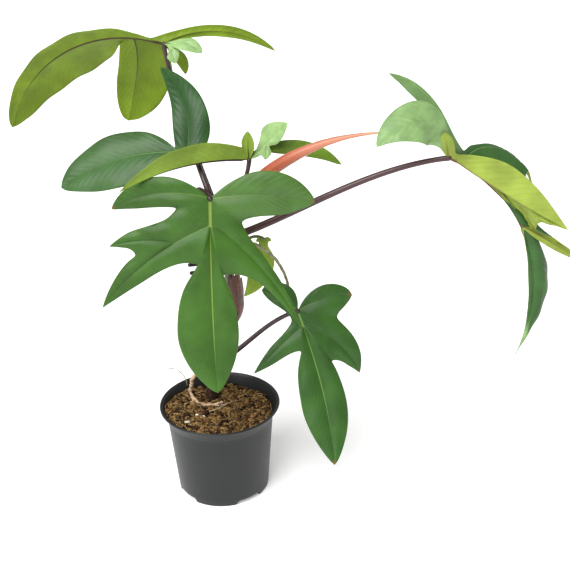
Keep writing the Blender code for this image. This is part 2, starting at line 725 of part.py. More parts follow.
def make_grains(collection, materials):
    """Loose white grains and a pale flake lying on the soil."""
    for name, (distance, bearing, radius) in GRAINS.items():
        x, y, _ = heading(bearing, 0.0) * distance
        bpy.ops.mesh.primitive_ico_sphere_add(subdivisions=2, radius=radius * MM)
        grain = bpy.context.object
        grain.name = name
        grain.data.name = name
        for holder in list(grain.users_collection):
            holder.objects.unlink(grain)
        collection.objects.link(grain)
        height = soil_height(x, y) + radius + GAP
        grain.location = (x * MM, y * MM, height * MM)
        grain.data.materials.append(materials["grain_white"])
        grain.data.shade_smooth()


def on_soil(places, radius, arch=0.0):
    """Points lying on the soil, or arching over it."""
    places = np.array(places, float)
    share = np.linspace(0, 1, len(places))
    heights = soil_height(places[:, 0], places[:, 1]) + radius + ROOT_LIFT
    return np.column_stack([places, heights + arch * np.sin(np.pi * share)])


def make_roots(collection, materials, stem_cutter):
    """The aerial root and the roots that lie on the soil."""
    tan = materials["root_tan"]
    stretches, thick, thin = AERIAL_ROOT
    points = arcs(stem_at(AERIAL_HEIGHT), stretches)
    aerial = tube_mesh("aerial_root", evenly(points, 20), (thick, thin), collection, tan)
    subtract(aerial, stem_cutter)
    falling, lying, thick, thin = THICK_ROOT
    falling = arcs(stem_at(THICK_HEIGHT), falling)
    lying = evenly(arcs(falling[-1], lying), ROUTE_POINTS)[1:, :2]
    route = np.vstack([evenly(falling, ROUTE_POINTS), on_soil(lying, thick)])
    root = tube_mesh("surface_root", smooth_curve(route, 22), (thick, thin), collection, tan)
    subtract(root, stem_cutter)
    lying = evenly(arcs(THIN_START, THIN_ROOT), ROUTE_POINTS)[:, :2]
    route = on_soil(lying, THIN_ROOT_RADIUS, THIN_ROOT_ARCH)
    tube_mesh("thin_root", smooth_curve(route, 12), (THIN_ROOT_RADIUS, THIN_TIP_RADIUS), collection, tan)
    hair = evenly(arcs(HAIR_START, HAIR_ROOT), 12)
    tube_mesh("hair_root", hair, (HAIR_RADIUS, HAIR_TIP_RADIUS), collection, tan)


def shortened(points, distance):
    """A route that stops short of its end."""
    curve = smooth_curve(points, 200)
    left = np.linalg.norm(curve - curve[-1], axis=1)
    return curve[left > distance]


def make_plant(collection, cutters, materials):
    """The stem, petioles, blades, new leaf and roots."""
    axis = stem_axis(26)
    radii = (STEM_RADII[0], STEM_RADII[0], STEM_RADII[1], STEM_RADII[1])
    tube_mesh("stem", axis, radii, collection, materials["stem_green"])
    wide = [radius + GAP for radius in radii]
    top = axis[-1] + unit(axis[-1] - axis[-2]) * GAP
    stem_cutter = tube_mesh("stem_clearance", np.vstack([axis, top]), wide, cutters)
    make_cutter(stem_cutter)
    for name, (*_, thick, thin) in PETIOLES.items():
        route = shortened(petiole_route(name), PETIOLE_STOP * thin)
        count = int(round(len(route) * np.linalg.norm(route[1] - route[0]) / 10)) + 4
        petiole = tube_mesh(name, evenly(route, count), (thick, thin), collection,
                            materials["petiole_dark"])
        subtract(petiole, stem_cutter)
        blade = name.replace("petiole", "leaf")
        subtract(petiole, make_leaf(blade, collection, cutters, materials))
    spike = tube_mesh("new_leaf", evenly(arcs(axis[-1], SPIKE), 24), SPIKE_RADII, collection,
                      materials["spike_red"])
    subtract(spike, stem_cutter)
    make_sheath(collection, materials)
    make_tie(collection, materials)
    make_roots(collection, materials, stem_cutter)
    return stem_cutter


def main():
    """Build the whole plant."""
    clear_scene()
    collection = make_collection(COLLECTION)
    cutters = make_collection(CUTTERS)
    materials = make_materials()
    stem_cutter = make_plant(collection, cutters, materials)
    make_pot(collection, cutters, materials)
    make_soil(collection, materials, stem_cutter)
    make_grains(collection, materials)


main()
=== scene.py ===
"""The looks of a potted philodendron: lobed leaves, dark stalks, a new leaf, roots and a pot.

Design values are in millimetres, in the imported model's frame: the origin is the middle of the
pot's underside, +Z is up and -Y is the plant's front. MM turns them into metres in each mesh.
"""
import json
from collections import namedtuple

import bpy
import numpy as np
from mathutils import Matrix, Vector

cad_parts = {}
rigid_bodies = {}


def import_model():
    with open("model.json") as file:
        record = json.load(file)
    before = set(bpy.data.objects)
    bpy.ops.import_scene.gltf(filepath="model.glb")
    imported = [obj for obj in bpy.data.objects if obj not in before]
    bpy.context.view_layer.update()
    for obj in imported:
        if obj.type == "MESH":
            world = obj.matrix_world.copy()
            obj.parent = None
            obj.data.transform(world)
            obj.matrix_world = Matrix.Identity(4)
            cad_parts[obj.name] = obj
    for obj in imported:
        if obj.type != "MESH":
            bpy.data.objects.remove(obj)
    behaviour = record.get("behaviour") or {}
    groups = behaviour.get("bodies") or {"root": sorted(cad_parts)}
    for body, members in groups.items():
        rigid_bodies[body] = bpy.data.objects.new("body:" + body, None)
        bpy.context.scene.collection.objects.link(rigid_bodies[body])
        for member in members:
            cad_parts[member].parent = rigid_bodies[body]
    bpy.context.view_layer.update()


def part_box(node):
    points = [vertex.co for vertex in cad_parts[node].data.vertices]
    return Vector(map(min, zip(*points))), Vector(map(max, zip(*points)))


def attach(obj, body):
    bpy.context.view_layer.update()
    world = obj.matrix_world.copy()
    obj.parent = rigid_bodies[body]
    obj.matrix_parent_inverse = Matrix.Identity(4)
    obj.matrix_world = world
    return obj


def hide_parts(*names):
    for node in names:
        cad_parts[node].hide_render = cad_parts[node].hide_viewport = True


bl_info = {
    "name": "Potted philodendron",
    "version": (1, 0, 0),
    "blender": (4, 5, 0),
    "location": "3D View > Sidebar > Philodendron",
    "description": "Builds a potted philodendron, piece by piece, on its packed model",
    "category": "Add Mesh",
}

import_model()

MM = 0.001
POT_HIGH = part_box("pot")[1]

# Pot
FLOOR = 5.0              # height of its floor inside
TAPER = 0.09             # how much the wall's radius grows per millimetre of height
LIP_RADIUS = 1.1
FLARE_START = 80.0       # height where the wall starts to flare out to the rim
STEP_HEIGHT = 83.0       # height of the small step below the rim
STEP_SIZE = 0.35
STEP_RISE = 0.8          # height over which the step grows
FLARE_POWER = 1.6        # above 1, the flare starts gently
POT_SIDES = 192
FOOT_RING = 6.0          # width of the foot's ring in the middle of a notch
FOOT_RING_LEAST = 1.5    # and away from the notches
NOTCH_SLOPE = 0.03       # angle over which a notch's side rises, in radians
LIP_BEND = (170, -60)    # degrees round the rolled lip, from the inside to the outside

# Soil: its surface is a tilted plane with broad lumps and a hollow round the stem
SOIL_HEIGHT = 87.0
SOIL_TILT = (-0.055, -0.06)
SOIL_LUMP = 1.2
SOIL_GAP = 0.15          # to the pot's wall
SOIL_HOLLOW = (-11.0, 16.0, 9.0, 3.5)     # x, y, radius and depth
SOIL_SIDES = 240
SOIL_REACH = 0.98        # how far out crumbs and fibres lie, as a share of the soil's radius
FIBRE_RADII = (0.16, 0.5)
FIBRE_LIFTS = (0.2, 1.6)
CRUMB_STRETCH = (0.45, 1.3)

# Leaves
RIB_STEP = 2.4           # spacing of the samples along a rib
RIB_COLUMNS = 4          # columns across half of a rib
BLADE_COLUMNS = 12       # columns from a rib's edge to the margin
ROW_SMOOTHING = 30       # passes that even out a blade's normals along its rows
CAP_RINGS = 4            # rings in the round cap at each end of a tube
VEIN_SPACING = 9.0       # distance between side veins along a rib
VEIN_SLANT = 1.3         # how far a side vein runs forward for each unit outward
WAVE_LENGTH = 41.0       # of the margin's gentle wave

Lobe = namedtuple("Lobe", "length first last left right parent at peak taper base up fold rib mint "
                          "brown tail")


def lobe(length, first, last, left, right, parent=None, at=0.0, peak=0.5, taper=0.8, base=0.75,
         up=None, fold=(0, 0), rib=0.6, mint=0.0, brown=0.0, tail=0.0):
    """One lobe: its rib is an arc whose heading turns from first to last.

    A heading is (azimuth, rise) in degrees: azimuth 0 is +X and 90 is +Y, and rise is upward.
    left and right are half widths, and parent and at say which rib it leaves, and where.
    rib is the rib's radius where it starts, the sheen value how strongly a painted reflection
    pales the lobe, brown how dry its tip and tail the length of its pale tip, coloured like that
    painted reflection.
    """
    return Lobe(length, first, last, left, right, parent, at, peak, taper, base, up, fold, rib,
                mint, brown, tail)


# Each leaf's lobes go clockwise, seen on its upper side, from one side of the petiole round to
# the other. A sinus is the inner end of the cut between two lobes: it lies between a point on the
# one's rib and a point on the next one's (their shares along the ribs), at the third share.
# A leaf's under colour is its underside's own yellow-green with painted light shining through it.
# A lobe's sheen value paints a reflection onto it.
LEAVES = {
    "leaf_front": dict(
        finish="leaf_green",
        junction=(5, -40, 330),
        up=(0, -0.97, 0.24),
        lobes=(
            lobe(95, (-5, 10), (10, -20), 22, 18, peak=0.55, taper=0.75, mint=0.12, brown=0.7),
            lobe(130, (-10, -35), (-20, -65), 9, 9, parent=2, at=0.14, peak=0.3, taper=1.1,
                 base=0.9),
            lobe(178, (-100, -78), (-82, -70), 23, 33, peak=0.68, taper=0.75, base=0.5, rib=1.7),
            lobe(128, (185, -20), (185, -52), 13, 13, parent=2, at=0.14, peak=0.45, taper=0.9),
            lobe(60, (180, 15), (175, -20), 9, 12, parent=3, at=0.28, peak=0.3, taper=1.0),
            lobe(95, (180, 20), (165, -35), 12, 15, brown=1.0),
        ),
        sinuses=((0.3, 0.25, 0.5), (0.2, 0.5, 0.6), (0.5, 0.15, 0.5), (0.6, 0.6, 0.5),
                 (0.0, 0.3, 0.7)),
        upper=(0.034, 0.098, 0.009), under=(0.14, 0.22, 0.03), vein=(0.2, 0.3, 0.05),
        under_vein=(0.26, 0.3, 0.08), vein_show=0.5, pleat=0.2, wave=0.8,
    ),
    "leaf_lower": dict(
        finish="leaf_green",
        junction=(80, -30, 210),
        up=(0.05, -0.93, 0.36),
        lobes=(
            lobe(55, (10, 30), (15, -10), 13, 16, peak=0.55, taper=0.6, brown=1.0),
            lobe(75, (-10, -15), (-5, -70), 16, 12, parent=2, at=0.1, peak=0.45, taper=0.9,
                 brown=0.6),
            lobe(150, (-40, -65), (-85, -60), 20, 23, peak=0.6, base=0.8, rib=1.3, brown=1.0),
            lobe(65, (-160, -35), (-165, -45), 10, 6, parent=2, at=0.1, peak=0.4, taper=0.9),
            lobe(40, (160, 50), (165, 5), 9, 13, taper=0.6),
        ),
        sinuses=((0.7, 0.5, 0.45), (0.6, 0.4, 0.5), (0.3, 0.35, 0.4), (0.2, 0.2, 0.5)),
        upper=(0.024, 0.078, 0.009), under=(0.12, 0.2, 0.03), vein=(0.15, 0.27, 0.06),
        under_vein=(0.24, 0.3, 0.08), vein_show=0.45, pleat=0.2, wave=0.9,
    ),
    "leaf_left": dict(
        finish="leaf_green",
        junction=(-10, 10, 355),
        up=(-0.15, -0.75, 0.65),
        lobes=(
            lobe(135, (170, 5), (180, -35), 28, 26, taper=0.65, base=0.6, rib=1.0, mint=0.1),
            lobe(85, (60, 65), (180, 50), 15, 21, parent=0, at=0.05, peak=0.2, base=0.95,
                 up=(-0.1, -0.95, 0.2)),
            lobe(25, (-5, 5), (-15, -5), 5, 5, taper=0.7),
        ),
        sinuses=((0.15, 0.15, 0.15), (0.2, 0.6, 0.75)),
        upper=(0.018, 0.068, 0.012), under=(0.1, 0.18, 0.03), vein=(0.09, 0.19, 0.05),
        under_vein=(0.2, 0.26, 0.07), vein_show=0.5, pleat=0.4, wave=1.0,
    ),
    "leaf_young": dict(
        finish="young_leaf_green",
        junction=(50, 15, 265),
        up=(0.1, -0.95, 0.3),
        lobes=(
            lobe(8, (5, 10), (0, -50), 2, 2, taper=0.7),
            lobe(60, (-90, -75), (-165, -40), 13, 13, peak=0.3, taper=0.9, base=0.7),
            lobe(8, (180, 10), (185, -50), 2, 2, taper=0.7),
        ),
        sinuses=((1.0, 0.2, 0.5), (0.2, 1.0, 0.6)),
        upper=(0.25, 0.37, 0.04), under=(0.32, 0.42, 0.06), vein=(0.38, 0.46, 0.12),
        under_vein=(0.38, 0.46, 0.14), vein_show=0.2, pleat=0.05, wave=0.4,
    ),
    "leaf_middle": dict(
        finish="young_leaf_green",
        junction=(40, 0, 350),
        up=(0, 0.2, 1),
        lobes=(
            lobe(30, (-120, 80), (-60, 80), 6, 6, taper=0.7, up=(0, 0.9, 0.3)),
            lobe(125, (-160, 12), (-155, -20), 20, 10, peak=0.4, taper=1.0, base=0.9,
                 up=(0, 0.1, 1), fold=(75, 5), rib=0.9),
            lobe(95, (30, 30), (-15, -45), 4, 11, taper=0.7, up=(0, -0.8, 0.6)),
            lobe(50, (25, 40), (-20, 45), 14, 9, up=(0, -0.8, 0.6), mint=1.0),
            lobe(15, (-60, -60), (-150, -70), 5, 5, parent=3, at=0.45, peak=0.4,
                 up=(0, -0.9, 0.3), mint=1.0),
        ),
        sinuses=((0.6, 0.12, 0.3), (0.15, 0.2, 0.5), (0.2, 0.2, 0.2), (0.5, 0.3, 0.5)),
        upper=(0.1, 0.18, 0.012), under=(0.2, 0.3, 0.035), vein=(0.2, 0.3, 0.05),
        under_vein=(0.03, 0.014, 0.008), vein_show=0.3, pleat=0.2, wave=0.6,
    ),
    "leaf_right": dict(
        finish="young_leaf_green",
        junction=(220, -10, 350),
        up=(0.5, 0.4, 0.75),
        lobes=(
            lobe(105, (-135, 90), (-170, -55), 20, 20,
                 up=((0.3, -0.9, 0.2), (-0.3, -0.6, 0.7)), mint=0.75),
            lobe(105, (150, 90), (200, 20), 9, 3, peak=0.6, up=(0.3, -0.9, 0.2), mint=0.5),
            lobe(105, (60, 30), (-25, -75), 9, 18, parent=3, at=0.06, peak=0.4,
                 up=(0.5, 0.2, 0.8)),
            lobe(245, (5, -28), (5, -114), 19, 6, peak=0.62, taper=1.8, base=0.1,
                 up=((0.7, 0.26, 0.54), (0.3, -1.4, 0.3)), rib=1.2, tail=38.0),
            lobe(70, (-10, -30), (-10, -32), 5, 5, parent=3, at=0.4, up=(0.2, 0.95, -0.1)),
            lobe(120, (-20, -32), (-8, -28), 11, 25, parent=3, at=0.03, peak=0.35, taper=1.0,
                 base=0.5, up=(0.2, 0.95, -0.1)),
            lobe(30, (-110, 60), (-135, 75), 7, 6, taper=0.5, up=(0.2, 0.9, 0.1)),
        ),
        sinuses=((0.25, 0.25, 0.5), (0.05, 0.2, 0.6), (1.0, 0.45, 0.8), (0.42, 0.1, 0.5),
                 (0.3, 0.6, 0.1), (0.1, 0.5, 0.6)),
        upper=(0.035, 0.105, 0.02), under=(0.27, 0.35, 0.05), vein=(0.3, 0.42, 0.18),
        under_vein=(0.16, 0.07, 0.035), vein_show=0.5, pleat=0.35, wave=0.7,
    ),
    "leaf_top": dict(
        finish="young_leaf_green",
        junction=(-35, 55, 445),
        up=(-0.3, 0.8, 0.5),
        lobes=(
            lobe(35, (0, -35), (-10, -80), 4, 8, taper=0.7, up=(0, 0.9, 0.3)),
            lobe(30, (-65, 20), (-55, -80), 7, 8, taper=0.6, up=(0, -0.8, 0.6), mint=1.0),
            lobe(45, (-40, 30), (-20, -40), 8, 9, taper=0.6, up=(0, -0.6, 0.8), mint=1.0),
            lobe(110, (20, 22), (0, -38), 5, 6, taper=0.7, up=(0, 0.9, 0)),
            lobe(205, (165, 15), (165, -72), 19, 42, peak=0.4, taper=0.6, base=0.8, rib=1.1),
            lobe(100, (80, -55), (160, -75), 18, 34, parent=4, at=0.14, taper=0.5, base=0.9,
                 up=(-0.2, 0.9, 0.2)),
        ),
        sinuses=((0.3, 0.3, 0.3), (0.7, 0.4, 0.5), (0.15, 0.1, 0.5), (0.1, 0.12, 0.7),
                 (0.25, 0.2, 0.3)),
        upper=(0.09, 0.19, 0.04), under=(0.17, 0.26, 0.012), vein=(0.22, 0.36, 0.09),
        under_vein=(0.045, 0.03, 0.008), vein_show=0.3, pleat=0.3, wave=0.8,
    ),
}

# The stem as arcs (length, first heading, last heading): it leans right, then stands up.
STEM_START = (-10, 25, 60)
STEM = ((130, (-10, 92), (-10, 65)), (105, (-85, 84), (-85, 84)))
STEM_RADII = (5.5, 5.5, 4.6, 4.6)
SCAR_SWELL, SCAR_REACH = 0.55, 4.5       # how far the stem swells at a leaf scar
SCAR_DEPTH, SCAR_WIDTH = 0.4, 0.9        # of the ring pressed into the swelling
STEM_NODES = (124.0, 172.0, 212.0, 246.0, 262.0, 276.0)    # heights of the old leaf scars

# name: (height on the stem, heading there, heading at the blade, handle lengths, radius at the
# stem, radius at the blade); a petiole is the curve that these handles pull
PETIOLES = {
    "petiole_front": (250, (-155, 55), (-60, -15), (50, 50), 3.0, 2.4),
    "petiole_left": (266, (-100, 50), (105, 20), (60, 60), 2.8, 2.5),
    "petiole_top": (272, (155, 68), (140, 80), (55, 55), 2.8, 1.9),
    "petiole_middle": (278, (60, 60), (-60, 75), (35, 30), 2.4, 2.0),
    "petiole_right": (268, (-12, 22), (0, 5), (75, 75), 3.8, 2.4),
    "petiole_lower": (125, (-30, 32), (-25, 25), (40, 40), 2.6, 2.0),
    "petiole_young": (246, (15, 48), (-20, -30), (15, 15), 1.8, 1.4),
}

CLASP, CLASP_REACH = 1.6, 7.0            # how far a petiole swells at the stem
KNEE, KNEE_REACH = 0.35, 6.0             # and at the blade

# The rolled-up new leaf: an arc from the stem's top, and its radii from there to the tip
SPIKE = ((180, (-14, 58), (-14, 5)),)
SPIKE_RADII = (3.5, 5.4, 6.2, 5.6, 3.6, 1.8, 0.7)

# Roots: arcs and end radii; those that start on the stem have the height there
AERIAL_HEIGHT = 256
AERIAL_ROOT = (((35, (-60, 40), (-5, 0)), (65, (0, -30), (0, -92))), 1.9, 1.3)
THICK_HEIGHT = 128
THICK_ROOT = (((48, (190, -15), (150, -90)),), ((42, (-80, 0), (15, 0)),), 2.2, 1.3)
# steps over the soil from the thick root to the end of each side root
SIDE_ROOTS = np.array([((0, 0), (-5, -3), (-10, -8)), ((0, 0), (-5, -6), (-10, -8)),
                       ((0, 0), (5, -3), (11, -2))], float)
SIDE_ROOT_RADII = (1.1, 0.5)
SIDE_ROOT_LEAVES = (3, 1, 5)             # the points of the thick root that they leave
SIDE_ROOT_LIFTS = (1.0, 0.9, 0.9)
THIN_START = (-13, -12, 0)
THIN_ROOT = ((38, (10, 0), (80, 0)),)
THIN_ROOT_RADIUS = 0.8
THIN_TIP_RADIUS = 0.6
THIN_ROOT_ARCH = 3.0
HAIR_START = (-35, 38, 93)
HAIR_ROOT = ((32, (110, 65), (190, -10)),)
HAIR_RADIUS = 0.45
HAIR_TIP_RADIUS = 0.3
ROOT_LIFT = 0.4          # clear space under a root that lies on the soil

# The old leaf's sheath, a scale open towards the stem
SHEATH_HEIGHTS = (176, 233)
SHEATH_SHIFT = (3.5, -2.5, 0)    # from the stem's middle to the sheath's
SHEATH_RADII = (6.8, 8.8, 8.6, 7.4)
SHEATH_HALF = 0.3        # half its thickness
SHEATH_SPREAD = 95.0     # degrees either side of its back
SHEATH_FACING = (0.4, -0.92)     # the direction of its back, as x and y

# Plant tie: a loop round the stem with two ends
TIE_HEIGHT = 240.0
TIE_RADIUS = 1.9
TIE_LOOP_RADIUS = 7.2
TIE_ARC = (200, -140)    # degrees round the stem, from one end to the other
TIE_CLIMB = (5.0, -2.5)  # height above TIE_HEIGHT at each end of the loop
TIE_TAIL = 31.0          # length of each end
TIE_HEADING = 195.0      # azimuth that both ends point along

# name: (distance from the pot's middle, bearing in degrees, radius)
GRAINS = {"perlite_grain_1": (28, 218, 1.6), "perlite_grain_2": (25, 232, 1.5),
          "bark_flake": (44, 225, 2.0)}

# The camera and the floor, in metres and degrees; the sensor's width is in millimetres
CAMERA_PLACE = (0.069, -1.029, 0.727)
CAMERA_TILT, CAMERA_TURN = 63.9, -1.8
SENSOR_WIDTH = 36.0
FLOOR_SIZE = 14.0


# ---------------------------------------------------------------- curves and surfaces

def unit(vectors):
    """Vectors scaled to length one."""
    vectors = np.asarray(vectors, float)
    return vectors / np.maximum(np.linalg.norm(vectors, axis=-1, keepdims=True), 1e-9)


def travelled(curve):
    """Distance along a polyline at each of its points."""
    steps = np.linalg.norm(np.diff(curve[:, :3], axis=0), axis=1)
    return np.concatenate([[0.0], np.cumsum(steps)])


def evenly(curve, count):
    """A polyline sampled again at equal distances, with all its columns."""
    distance = travelled(curve)
    wanted = np.linspace(0, distance[-1], count)
    return np.stack([np.interp(wanted, distance, column) for column in curve.T], axis=-1)


def smooth_curve(points, count):
    """A smooth curve through the points (cubic Hermite spans), evenly sampled."""
    points = np.asarray(points, float)
    knots = travelled(points)
    slopes = np.gradient(points, knots, axis=0)
    t = np.linspace(0, knots[-1], 24 * len(points))
    i = np.clip(np.searchsorted(knots, t, side="right") - 1, 0, len(points) - 2)
    span = (knots[i + 1] - knots[i])[:, None]
    u = (t - knots[i])[:, None] / span
    curve = ((1 + 2 * u) * (1 - u) ** 2 * points[i] + u * (1 - u) ** 2 * span * slopes[i]
             + u ** 2 * (3 - 2 * u) * points[i + 1] - u ** 2 * (1 - u) * span * slopes[i + 1])
    return evenly(curve, count)


def heading(azimuth, rise):
    """The unit vector of an azimuth and a rise in degrees."""
    azimuth, rise = np.radians(azimuth), np.radians(rise)
    return np.stack([np.cos(rise) * np.cos(azimuth), np.cos(rise) * np.sin(azimuth),
                     np.sin(rise)], axis=-1)


def arc(start, length, first, last, count=40):
    """A curve whose heading turns evenly from first to last: the running sum of short steps."""
    turning = heading(*[np.linspace(a, b, count) for a, b in zip(first, last)])
    steps = (turning[1:] + turning[:-1]) / 2 * length / (count - 1)
    return np.vstack([[start], start + np.cumsum(steps, axis=0)]).astype(float)


def arcs(start, stretches):
    """Arcs one after another."""
    curve = np.array([start], float)
    for length, first, last in stretches:
        curve = np.vstack([curve[:-1], arc(curve[-1], length, first, last)])
    return curve


def stem_axis(count):
    """The stem's middle line, rounded where its arcs meet."""
    return smooth_curve(evenly(arcs(STEM_START, STEM), 12), count)


def stem_at(height):
    """The stem's middle at a height."""
    axis = stem_axis(200)
    return np.array([np.interp(height, axis[:, 2], axis[:, k]) for k in range(3)])


def petiole_route(name):
    """A petiole's cubic curve from the stem's middle to its leaf's junction."""
    height, first, last, handles, _, _ = PETIOLES[name]
    junction = LEAVES[name.replace("petiole", "leaf")]["junction"]
    start, end = stem_at(height), np.array(junction, float)
    near, far = start + heading(*first) * handles[0], end - heading(*last) * handles[1]
    t = np.linspace(0, 1, 60)[:, None]
    return ((1 - t) ** 3 * start + 3 * t * (1 - t) ** 2 * near + 3 * t ** 2 * (1 - t) * far
            + t ** 3 * end)


def spread(values, count):
    """Values along a path, read off at `count` equal steps."""
    return np.interp(np.linspace(0, 1, count), np.linspace(0, 1, len(values)), values)


def ripples(points, size, seed, count=24):
    """Smooth random bumps about `size` across: sine waves summed in random directions."""
    rng = np.random.default_rng(seed)
    waves = unit(rng.normal(size=(count, 3))) * rng.uniform(0.6, 1.6, (count, 1)) * 2 * np.pi / size
    shift = rng.uniform(0, 2 * np.pi, count)
    return np.sin(points @ waves.T + shift).sum(axis=-1) / np.sqrt(count / 2)


def soften(rows, passes):
    """Rows averaged with their neighbours again and again, with both ends kept."""
    rows = rows.copy()
    for _ in range(passes):
        rows[1:-1] = (rows[:-2] + 2 * rows[1:-1] + rows[2:]) / 4
    return rows


def tube_grid(path, radii, sides):
    """Rings round a path, closed by a round cap at each end.

    A ring is the path's point plus radius times (cos a, sin a) on two axes square to the path.
    Both axes come from one fixed direction, the one that the path runs along least. radii is
    one radius for each point, or one for each point and angle.
    """
    path = np.asarray(path, float)
    tangent = unit(np.gradient(path, axis=0))
    fixed = np.linalg.svd(tangent)[2][-1]
    side = unit(np.cross(tangent, fixed))
    over = np.cross(tangent, side)
    radii = np.asarray(radii, float)
    if radii.ndim == 1:
        radii = np.repeat(radii[:, None], sides + 1, axis=1)
    bend = np.linspace(0, np.pi / 2, CAP_RINGS + 1)[:-1][:, None]
    start, end = radii[0].mean(), radii[-1].mean()
    centres = np.vstack([path[0] - tangent[0] * start * np.cos(bend), path,
                         (path[-1] + tangent[-1] * end * np.cos(bend))[::-1]])
    ring = np.vstack([radii[0] * np.sin(bend), radii, (radii[-1] * np.sin(bend))[::-1]])
    side = np.vstack([np.repeat(side[:1], CAP_RINGS, 0), side, np.repeat(side[-1:], CAP_RINGS, 0)])
    over = np.vstack([np.repeat(over[:1], CAP_RINGS, 0), over, np.repeat(over[-1:], CAP_RINGS, 0)])
    angle = np.linspace(0, 2 * np.pi, sides + 1)[None, :, None]
    grid = (centres[:, None] + side[:, None] * np.cos(angle) * ring[..., None]
            + over[:, None] * np.sin(angle) * ring[..., None])
    grid[:, -1] = grid[:, 0]
    return grid


def tube_values(numbers, sides, at_end=1.0):
    """Numbers at a tube's points: 0 over its first cap and at_end over its last."""
    rows = numbers.reshape(len(numbers), -1) + np.zeros(sides + 1)
    cap = np.zeros((CAP_RINGS, sides + 1))
    return np.vstack([cap, rows, cap + at_end])


def ball_grid(rows, columns):
    """A ball of radius one, as rows of points from pole to pole."""
    up = np.linspace(0, np.pi, rows)[:, None]
    turn = np.linspace(0, 2 * np.pi, columns)[None]
    return np.stack([np.sin(up) * np.cos(turn), np.sin(up) * np.sin(turn),
                     np.cos(up) + 0 * turn], axis=-1)


def grid_quads(shape, first):
    """Quads of a grid (rows, columns), or of a stack of grids, from its first point's number."""
    rows, columns = shape[-2:]
    stack = int(np.prod(shape[:-2]))
    corner = np.arange(rows - 1)[:, None] * columns + np.arange(columns - 1)
    corner = first + np.arange(stack)[:, None, None] * rows * columns + corner
    quads = np.stack([corner, corner + columns, corner + columns + 1, corner + 1], axis=-1)
    return quads.reshape(-1, 4)


def weld(grids, values=None):
    """Grids as one surface: equal points are merged and collapsed quads become triangles.

    A stack of grids keeps its copies apart. Returns points, values, quads and triangles.
    """
    points, keys, quads, first = [], [], [], 0
    for grid in grids:
        shape = grid.shape[:-1]
        count = int(np.prod(shape))
        points.append(grid.reshape(-1, 3))
        copies = np.arange(int(np.prod(shape[:-2]))) if len(shape) > 2 else np.zeros(1, int)
        keys.append(np.repeat(copies, count // len(copies)))
        quads.append(grid_quads(shape, first))
        first += count
    points = np.vstack(points)
    key = np.column_stack([np.round(points * 1000).astype(np.int64), np.concatenate(keys)])
    _, keep, merged = np.unique(key, axis=0, return_index=True, return_inverse=True)
    quads = merged.reshape(-1)[np.vstack(quads)]
    same = quads == np.roll(quads, 1, axis=1)
    triangles = [np.delete(quads[(same.sum(1) == 1) & same[:, k]], k, axis=1) for k in range(4)]
    triangles = np.vstack(triangles)
    whole = quads[(same.sum(1) == 0) & (quads[:, 0] != quads[:, 2]) & (quads[:, 1] != quads[:, 3])]
    triangles = triangles[(triangles[:, 0] != triangles[:, 1])
                          & (triangles[:, 1] != triangles[:, 2])
                          & (triangles[:, 2] != triangles[:, 0])]
    kept = {name: np.concatenate([v.reshape(-1) for v in parts])[keep]
            for name, parts in (values or {}).items()}
    return points[keep], kept, whole, triangles


def outward(points, quads, triangles):
    """Faces of a closed surface, all turned round if its volume comes out negative."""
    halves = np.vstack([quads[:, [0, 1, 2]], quads[:, [0, 2, 3]], triangles])
    a, b, c = (points[halves[:, k]] for k in range(3))
    if np.einsum("ij,ij->i", a, np.cross(b, c)).sum() < 0:
        return quads[:, ::-1], triangles[:, ::-1]
    return quads, triangles


def point_normals(points, quads, triangles):
    """Unit normals at the points: the faces' normals, weighted by area, summed at each."""
    normals = np.zeros_like(points)
    across = np.cross(points[quads[:, 2]] - points[quads[:, 0]],
                      points[quads[:, 3]] - points[quads[:, 1]])
    for k in range(4):
        np.add.at(normals, quads[:, k], across)
    across = np.cross(points[triangles[:, 1]] - points[triangles[:, 0]],
                      points[triangles[:, 2]] - points[triangles[:, 0]])
    for k in range(3):
        np.add.at(normals, triangles[:, k], across)
    return unit(normals)


def sheet_shell(points, values, quads, triangles, above, below):
    """A closed shell round an open surface: its upper and under skins, and its rim.

    The upper skin is the surface moved `above` along its normals and the under skin is it
    moved `below` against them. A rim face joins the two along each edge that has one face.
    Returns points, values, quads, triangles and, for both kinds, which faces are the underside.
    """
    count = len(points)
    normals = point_normals(points, quads, triangles)
    skins = np.vstack([points + normals * above[:, None], points - normals * below[:, None]])
    starts = np.concatenate([quads.reshape(-1), triangles.reshape(-1)])
    ends = np.concatenate([np.roll(quads, -1, axis=1).reshape(-1),
                           np.roll(triangles, -1, axis=1).reshape(-1)])
    open_edge = ~np.isin(starts * count + ends, ends * count + starts)
    a, b = starts[open_edge], ends[open_edge]
    rim = np.stack([b, a, a + count, b + count], axis=-1)
    all_quads = np.vstack([quads, quads[:, ::-1] + count, rim])
    all_triangles = np.vstack([triangles, triangles[:, ::-1] + count])
    under = np.concatenate([np.zeros(len(quads)), np.ones(len(quads) + len(rim)),
                            np.zeros(len(triangles)), np.ones(len(triangles))]).astype(int)
    values = {name: np.concatenate([v, v]) for name, v in values.items()}
    return skins, values, all_quads, all_triangles, under


def make_piece(name, surface, materials, nodes=(), under=None):
    """A mesh object in metres from a surface in millimetres, riding on the plant's body."""
    points, values, quads, triangles = surface
    mesh = bpy.data.meshes.new(name)
    mesh.from_pydata((points * MM).tolist(), [], quads.tolist() + triangles.tolist())
    for material in materials:
        mesh.materials.append(material)
    if under is not None:
        mesh.polygons.foreach_set("material_index", under)
    for attribute, numbers in values.items():
        layer = mesh.attributes.new(attribute, "FLOAT", "POINT")
        layer.data.foreach_set("value", numbers.astype(np.float32))
    mesh.update()
    mesh.shade_smooth()
    piece = bpy.data.objects.new(name, mesh)
    bpy.context.scene.collection.objects.link(piece)
    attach(piece, "root")
    for node in nodes:
        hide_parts(node)
    return piece


def closed_piece(name, grids, material, nodes=(), values=None):
    """A piece made of closed grids."""
    points, kept, quads, triangles = weld(grids, values)
    quads, triangles = outward(points, quads, triangles)
    return make_piece(name, (points, kept, quads, triangles), [material], nodes)


# ---------------------------------------------------------------- leaves

